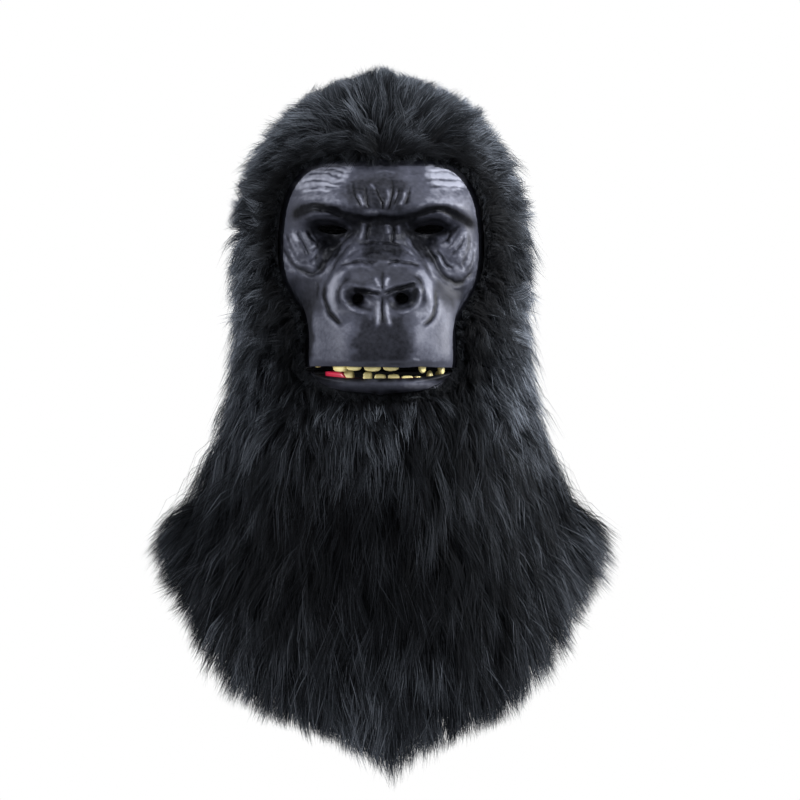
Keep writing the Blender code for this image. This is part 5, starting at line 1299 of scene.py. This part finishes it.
def lie(points, normal, along):
    away = unit(points - FOREHEAD)
    low = fade((-points[:, 2] - 0.17) / 0.09)[:, None]
    hood = away + np.array([0, 0, -1.0]) * (0.9 * low - 0.15)
    cape = unit((points - CHIN) * (1.0, 0.6, 1.0)) * 0.9 + np.array([0, 0, -0.35])
    hip = zone(np.abs(points[:, 0]), points[:, 2], 160, -390, 42, 45)[:, None]
    cape = cape + hip * np.sign(points[:, :1]) * (0.55, 0, 0) + hip * (0, 0, 0.10)
    share = fade((along - 0.86) / 0.24)[:, None]
    return along_cloth(hood * (1 - share) + cape * share, normal)


# %% [markdown]
# The pile is brushed and trimmed to the outline of the finished mask: a hair whose tip would stand
# out of it is cut shorter. The outline is measured from the front, as half widths at heights. The
# bib's tip lies a little off the middle.

# %% The outline that the pile is trimmed to
TRIM = MM * np.array([  # height, half width: mm
    (-562, 0), (-552, 7), (-540, 24), (-528, 52), (-516, 74), (-508, 100), (-490, 126), (-472, 143), (-456, 153), (-440, 162),
    (-422, 171), (-404, 183), (-388, 190), (-370, 194), (-354, 191), (-337, 177), (-320, 160), (-304, 149),
    (-272, 142), (-239, 133), (-207, 126), (-174, 130), (-126, 131), (-93, 125), (-61, 118), (-45, 109), (-28, 97),
    (-12, 86), (4, 64), (14, 42), (22, 16), (28, 0),
]).T
DEPTH_LIMIT = (-0.152, 0.142)


def trimmed(curve, slack):
    """Shortens hairs to the outline, in steps of a tenth. `slack` is how far each may stand out."""
    root, keep = curve[:, :1], np.ones(len(curve))
    for share in (0.9, 0.8, 0.7, 0.6, 0.5, 0.4, 0.3):
        tip = root[:, 0] + (curve[:, -1] - root[:, 0]) * keep[:, None]
        limit = np.interp(tip[:, 2], *TRIM, left=-1, right=-1) + slack
        middle = 0.009 * fade((-tip[:, 2] - 0.490) / 0.035)
        out = (np.abs(tip[:, 0] - middle) > limit) | (tip[:, 1] < DEPTH_LIMIT[0]) | (tip[:, 1] > DEPTH_LIMIT[1])
        keep = np.where(out, share, keep)
    return root + (curve - root) * keep[:, None, None]


# %% Growing the hair


def strands(turn, along, length, stand, flow, clump_size, messy, stops, spray=0.36, hold=(0.15, 0.62)):
    """The hairs' centre lines, and the numbers that colour them.

    A hair's point at share u of its length is: root + normal * stand * (1 - (1 - u) squared)
    + lie * length * (0.3 u + 0.7 u squared), pulled to the middle of its lock by u to the 1.5. The
    locks differ in how far they swing, reach and stand.
    """
    root = cloth(turn, along)
    normal = cloth_slopes(turn, along)[2]
    flow = along_cloth(flow(root, normal, along), normal)
    side = np.cross(normal, flow)
    n, u = len(turn), stops[None, :, None]
    few = max(int(n / clump_size), 8)
    pick = rng.choice(n, few, replace=False)
    own = nearest(root, root[pick])
    big = noise(root[:, 0] + root[:, 1] * 0.7, root[:, 2], 0.045, 51)
    swing = spray * (rng.normal(0, 1.0, few)[own] + 0.7 * big) + rng.normal(0, 0.14, n)
    reach = rng.normal(1, 0.12, few)[own] * rng.normal(1, 0.14, n).clip(0.5, 1.5)
    lift = rng.normal(1, 0.18, few)[own] * rng.normal(1, 0.20, n).clip(0.35, 1.6)
    wild = rng.random(n) < messy
    reach, lift = reach * np.where(wild, 1.15, 1), lift * np.where(wild, 1.3, 1)
    way = flow * np.cos(swing)[:, None] + side * np.sin(swing)[:, None]
    tall = (stand * lift)[:, None, None] * (1 - (1 - u) ** 2.0)
    run = (length * reach)[:, None, None] * (0.30 * u + 0.70 * u**2)
    curve = root[:, None] + normal[:, None] * tall + way[:, None] * run
    pull = (rng.uniform(*hold, n) * ~wild)[:, None, None]
    curve = curve + (curve[pick][own] - curve) * pull * u**1.5
    curve[..., 2] -= (length * reach)[:, None] * 0.06 * stops[None] ** 2
    curve[:, 1:] += rng.normal(0, 0.0007, curve[:, 1:].shape)
    tone = 0.5 + 0.15 * rng.normal(size=few)[own] + 0.15 * rng.normal(size=n) + 0.16 * big
    slack = np.where(wild, 0.003, 0.0) + rng.normal(0, 0.0052, few)[own] - 0.003
    return trimmed(curve, slack), normal, tone.clip(0, 1)


def ribbons(name, curve, normal, width, stops):
    """One object of narrow ribbons that end in a point, shaded as round hairs.

    Each point's normal is the cloth's own, made square to the hair: so a lock takes the light as the
    pile does, and not as flat leaves would.
    """
    n, k = curve.shape[:2]
    tangent = unit(np.gradient(curve, axis=1))
    out = normal[:, None] + 0.0 * tangent
    roll = rng.normal(0, 0.5, n)[:, None, None]
    flat = unit(np.cross(tangent, out) * np.cos(roll) + out * np.sin(roll))
    taper = np.interp(stops[:-1], (0, 0.45, 1), (0.75, 1.0, 0.55))[None, :, None]
    broad = (width * rng.uniform(0.65, 1.25, n))[:, None, None] * taper / 2
    left, right = curve[:, :-1] - flat[:, :-1] * broad, curve[:, :-1] + flat[:, :-1] * broad
    per = 2 * (k - 1) + 1
    points = np.concatenate([np.stack([left, right], 2).reshape(n, per - 1, 3), curve[:, -1:]], 1)
    first = np.arange(n)[:, None] * per
    quads = np.concatenate([first + [2 * j, 2 * j + 1, 2 * j + 3, 2 * j + 2] for j in range(k - 2)])
    obj = object_from(name, points.reshape(-1, 3), [quads, first + [per - 3, per - 2, per - 1]])
    square = out - tangent * (out * tangent).sum(-1, keepdims=True)
    lit = unit(unit(square) + 0.45 * out + rng.normal(0, 0.22, (n, 1, 3)))
    lit = np.concatenate([np.repeat(lit[:, :-1], 2, 1), lit[:, -1:]], 1)
    obj.data.normals_split_custom_set_from_vertices(lit.reshape(-1, 3))
    attribute(obj, "up", np.tile(np.concatenate([np.repeat(stops[:-1], 2), stops[-1:]]), n))
    return obj, per


def hair_material(name, roots, tips, pale, shine):
    """Dark at the root, painted shade deep in the pile, and paler to the tip, with a few pale hairs
    among the dark: painted sheen, which fades where the tips lie in painted shade.
    """
    hair = Shader(name, IOR=1.45, Specular_IOR_Level=shine)
    up, tone, tip_light_share = hair.attribute("up"), hair.attribute("tone"), hair.attribute("open")
    body = hair.colour(up ** 1.5 * (tone ** 2 * 1.9 + 0.08) * tip_light_share, roots, tips)
    colour = hair.colour(tone.step(0.62, 0.95) * up * tip_light_share, body, pale)
    hair.feed(Base_Color=colour, Roughness=0.72 - tone * 0.16)
    return hair.material


# Near-black roots are painted shade deep in the pile; the paler tips and pale hairs are painted sheen.
short = hair_material("hood_hair", (0.0022, 0.0026, 0.0036), (0.128, 0.148, 0.182), (0.310, 0.345, 0.410), 0.09)
long_ = hair_material("cape_hair", (0.0018, 0.0021, 0.0028), (0.112, 0.130, 0.162), (0.290, 0.322, 0.380), 0.06)
DENSITY = 1.0
THREE, FOUR = np.array([0.0, 0.48, 1.0]), np.array([0.0, 0.30, 0.66, 1.0])


def pile_depth(turn, along, deep, low=0.35):
    near = fade(from_rim(cloth(turn, along)) / 0.040)
    return deep * (low + (1 - low) * near)


def tip_light_and_shade(root):
    """How far the tips turn pale, their painted sheen: not in the band of painted shade round the face,
    little in the painted shade on the chest, the chin keeping some, less towards the bottom, more on
    the upper sides of the hood where the side lights fall, and less at its top middle.
    """
    x, z = root[:, 0], root[:, 2]
    band = fade((from_rim(root) + 0.004 * noise(x, z, 0.02, 52)) / 0.036 - 0.10)
    chest = zone(x, z, 0, -345, 105, 90, 3) * (root[:, 1] < 0)
    chin = zone(x, z, 0, -262, 70, 22, 3) * (root[:, 1] < 0)
    low = 0.36 + 0.64 * fade((z + 0.300) / 0.090)
    crown = 1 + 0.60 * fade((np.abs(x) - 0.065) / 0.040) * fade((z + 0.230) / 0.080)
    crown = crown - 0.40 * zone(x, z, 0, -30, 52, 20, 3)
    return np.maximum(band * (1 - 0.86 * chest), 0.65 * chin) * low * crown * 0.96 + 0.04


hair_objects = []


def coat(name, node, count, first, last, deep, length, width, clump, messy, look, stops, **more):
    count = int(count * DENSITY)
    triangles = 2 * (len(stops) - 2) + 1
    turn, along = strew(count, first, last, 0.0004)
    depth = pile_depth(turn, along, deep)
    lengths = length(turn, along) * (0.5 + 0.5 * (depth / deep - 0.35) / 0.65)
    curve, normal, tone = strands(turn, along, lengths, depth, lie, clump, messy, stops, **more)
    save_hair(name, node, curve, normal, tone, tip_light_and_shade(curve[:, 0]), width, stops, look,
              max(1, math.ceil(count * triangles / 190000)))


def save_hair(name, node, curve, normal, tone, tip_light_share, width, stops, look, parts=1):
    """Makes the objects: the hairs from the front round to the back, shared out over some pieces."""
    order = np.argsort(curve[:, 0, 1])
    for k, chosen in enumerate(np.array_split(order, parts)):
        obj, per = ribbons(f"{name}_{k + 1}" if parts > 1 else name, curve[chosen], normal[chosen], width, stops)
        attribute(obj, "tone", np.repeat(tone[chosen], per))
        # "open" holds the share of painted sheen on the tips; where it is low the hair stays in painted shade.
        attribute(obj, "open", np.repeat(tip_light_share[chosen], per))
        obj.data.materials.append(look)
        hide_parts(node)
        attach(obj, "root")
        hair_objects.append(obj)
        print(obj.name, face_count(obj), "triangles")


def hood_length(turn, along):
    return 0.026 + 0.006 * fade((along - 0.2) / 0.5)


def cape_length(turn, along):
    return 0.036 + 0.018 * fade((along - 1.05) / 0.3)


coat("hood_hair", "hood_fur", 107000, 0.0, 1.0, 0.028, hood_length, 0.00046, 34, 0.05, short, THREE, spray=0.45)
coat("cape_hair", "cape_fur", 72000, 1.0, 2.0, 0.023, cape_length, 0.00052, 28, 0.05, long_, FOUR, spray=0.24, hold=(0.20, 0.70))
coat("hem_hair", "cape_fur", 10000, 1.86, 2.0, 0.014, cape_length, 0.00056, 40, 0.02, long_, FOUR, spray=0.16, hold=(0.0, 0.35))

# %% [markdown]
# Along the edge of the face opening short hairs lean over the edge onto the casting, so that the
# cloth's cut edge is hidden.

# %% The fringe round the face


def over_edge(points, normal, along):
    return np.array([0.0, -0.150, -0.150]) - points


def fringe(count, deep):
    edge = OUTLINE.T
    place = rng.uniform(0, len(OUTLINE), count)
    outline = np.concatenate([OUTLINE, OUTLINE[:1]])
    at = np.stack([np.interp(place, np.arange(len(outline)), outline[:, k]) for k in (0, 1)], -1)
    middle = np.array([0.0, -0.145])
    at = at + unit(at - middle) * (rng.uniform(0.0003, deep, count))[:, None]
    turn, along = seen_on_cloth(at[:, 0], at[:, 1])
    size = rng.uniform(0.0045, 0.0110, count)
    curve, normal, tone = strands(turn, along, size, size * 0.6, over_edge, 14, 0.1, THREE, 0.55)
    # The fringe's tips barely turn pale: painted shade along the edge of the opening.
    save_hair("fringe", "hood_fur", curve, normal, tone, np.full(count, 0.10), 0.00042, THREE, short)


fringe(int(12000 * max(DENSITY, 0.5)), 0.0065)

# %% [markdown]
# Under the hair lies a near-black layer that stands for the dense lower pile, in painted shade, so
# that the cloth doesn't show between the hairs.

# %% A dark layer under the hair, in painted shade


def dark_underlayer(name, node, rows_at, share, deep, look):
    turns = 120
    turn, along = np.meshgrid(np.linspace(0, 2 * np.pi, turns, endpoint=False), rows_at)
    points = cloth(turn, along)
    high = pile_depth(turn.reshape(-1), along.reshape(-1), deep, low=0.12).reshape(turn.shape) * share
    high = high * (1 + 0.35 * noise(turn * 0.1, along * 0.25, 0.012, 61))
    outer = above_cloth(turn, along, high)
    rows = len(rows_at)
    inner = above_cloth(turn, along, np.full(turn.shape, 0.0006))
    points = np.concatenate([outer.reshape(-1, 3), inner.reshape(-1, 3)])
    a = grid_faces(rows, turns, ring=True)
    b = grid_faces(rows, turns, ring=True, start=rows * turns)[:, ::-1]
    ring = np.arange(turns)
    foot, over = (rows - 1) * turns, rows * turns
    last = np.stack([foot + ring, over + foot + ring, over + foot + np.roll(ring, -1), foot + np.roll(ring, -1)], -1)
    top = np.stack([ring, np.roll(ring, -1), over + np.roll(ring, -1), over + ring], -1)
    obj = object_from(name, points, [a, b, last, top])
    obj.data.materials.append(look)
    cut(obj, OUTLINE[::-1])
    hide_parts(node)
    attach(obj, "root")
    hair_objects.append(obj)
    print(name, face_count(obj), "triangles")


def underlayer_shade_material():
    under = Shader("underfur_painted_shade", Roughness=0.95, Specular_IOR_Level=0.1)
    streaks = under.node("TexNoise", Vector=under.stretched(900, 900, 120), Scale=1.0, Detail=3.0)
    # Near-black with faint streaks: painted shade deep in the pile.
    under.feed(Base_Color=under.colour(streaks, (0.0025, 0.0028, 0.0035), (0.010, 0.011, 0.014)))
    under.bump(streaks, 0.0015, 0.8)
    return under.material


underlayer_shade = underlayer_shade_material()
dark_underlayer("hood_underlayer", "hood_fur", np.concatenate([[0.004], np.linspace(0.03, 1.0006, 44)]), 0.42, 0.023, underlayer_shade)
dark_underlayer("cape_underlayer", "cape_fur", np.linspace(0.9994, 1.990, 44), 0.42, 0.021, underlayer_shade)

# %% [markdown]
# ## Stage
#
# The mask hangs before a white surround, as in a catalogue. The surround only shows and throws no
# light, and three soft lights and a dim sky do the rest: one high on the right, one wide from the
# top, and a weak one from the left.

# %% Surround, floor, lights and camera


def stage_plane(name, size, at, colour, roughness=0.9):
    half = size / 2
    corners = np.array([(-half, -half, 0), (half, -half, 0), (half, half, 0), (-half, half, 0)]) + at
    obj = object_from(name, corners, [np.array([[0, 1, 2, 3]])], smooth_faces=False)
    look = Shader(name + "_white", Roughness=roughness, Base_Color=(*colour, 1.0))
    obj.data.materials.append(look.material)
    obj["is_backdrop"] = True
    return obj


def surround(name, radius, centre, strength):
    u, v = np.meshgrid(np.linspace(0, 2 * np.pi, 48, endpoint=False), np.linspace(0.001, np.pi - 0.001, 25))
    points = np.stack([np.sin(v) * np.cos(u), np.sin(v) * np.sin(u), np.cos(v)], -1) * radius + centre
    obj = object_from(name, points.reshape(-1, 3), [grid_faces(25, 48, ring=True)])
    glow = Shader(name + "_white", Base_Color=(0, 0, 0, 1), Emission_Color=(1, 1, 1, 1),
                  Emission_Strength=strength, Roughness=1.0, Specular_IOR_Level=0.0)
    obj.data.materials.append(glow.material)
    obj.visible_diffuse = obj.visible_glossy = obj.visible_transmission = obj.visible_shadow = False
    obj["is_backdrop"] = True
    return obj


floor = stage_plane("floor", 5.0, (0, 0, -1.60), (0.85, 0.85, 0.85))
white = surround("white_surround", 11.0, (0, 0, -0.2), 1.0)

world = bpy.context.scene.world or bpy.data.worlds.new("sky")
bpy.context.scene.world = world
world.use_nodes = True
sky = world.node_tree.nodes["Background"]
sky.inputs["Color"].default_value, sky.inputs["Strength"].default_value = (1, 1, 1, 1), 0.30


def soft_light(name, place, aim, size, watts):
    data = bpy.data.lights.new(name, "AREA")
    data.shape, data.size, data.energy = "DISK", size, watts
    obj = bpy.data.objects.new(name, data)
    bpy.context.scene.collection.objects.link(obj)
    back = unit(np.array(place, float) - np.array(aim, float))
    obj.location = place
    obj.rotation_mode = "QUATERNION"
    obj.rotation_quaternion = Vector(back).to_track_quat("Z", "Y")
    return obj


soft_light("key", (1.45, -0.85, 0.70), (0, -0.05, -0.18), 0.6, 46)
soft_light("side", (1.45, 0.50, 0.05), (0, 0, -0.2), 0.8, 14)
soft_light("top", (0.05, -0.30, 1.60), (0, 0, -0.15), 0.9, 6)
soft_light("fill", (-1.50, -0.90, 0.35), (0, 0, -0.2), 0.8, 23)

LENS, FRAME_WIDTH, SENSOR = 300.0, 0.649, 36.0
camera_data = bpy.data.cameras.new("camera")
camera_data.lens, camera_data.sensor_width = LENS, SENSOR
camera_data.clip_end = 40
camera = bpy.data.objects.new("camera", camera_data)
bpy.context.scene.collection.objects.link(camera)
camera.location = (0.0154, -0.06 - FRAME_WIDTH * LENS / SENSOR, -0.2474)
camera.rotation_euler = (math.pi / 2, 0, 0)
bpy.context.scene.camera = camera
bpy.context.scene.view_settings.view_transform = "Standard"

# %% Sizes, and the end
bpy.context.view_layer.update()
total = sum(face_count(o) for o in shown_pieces() if o.type == "MESH")
print("shown", total, "triangles")
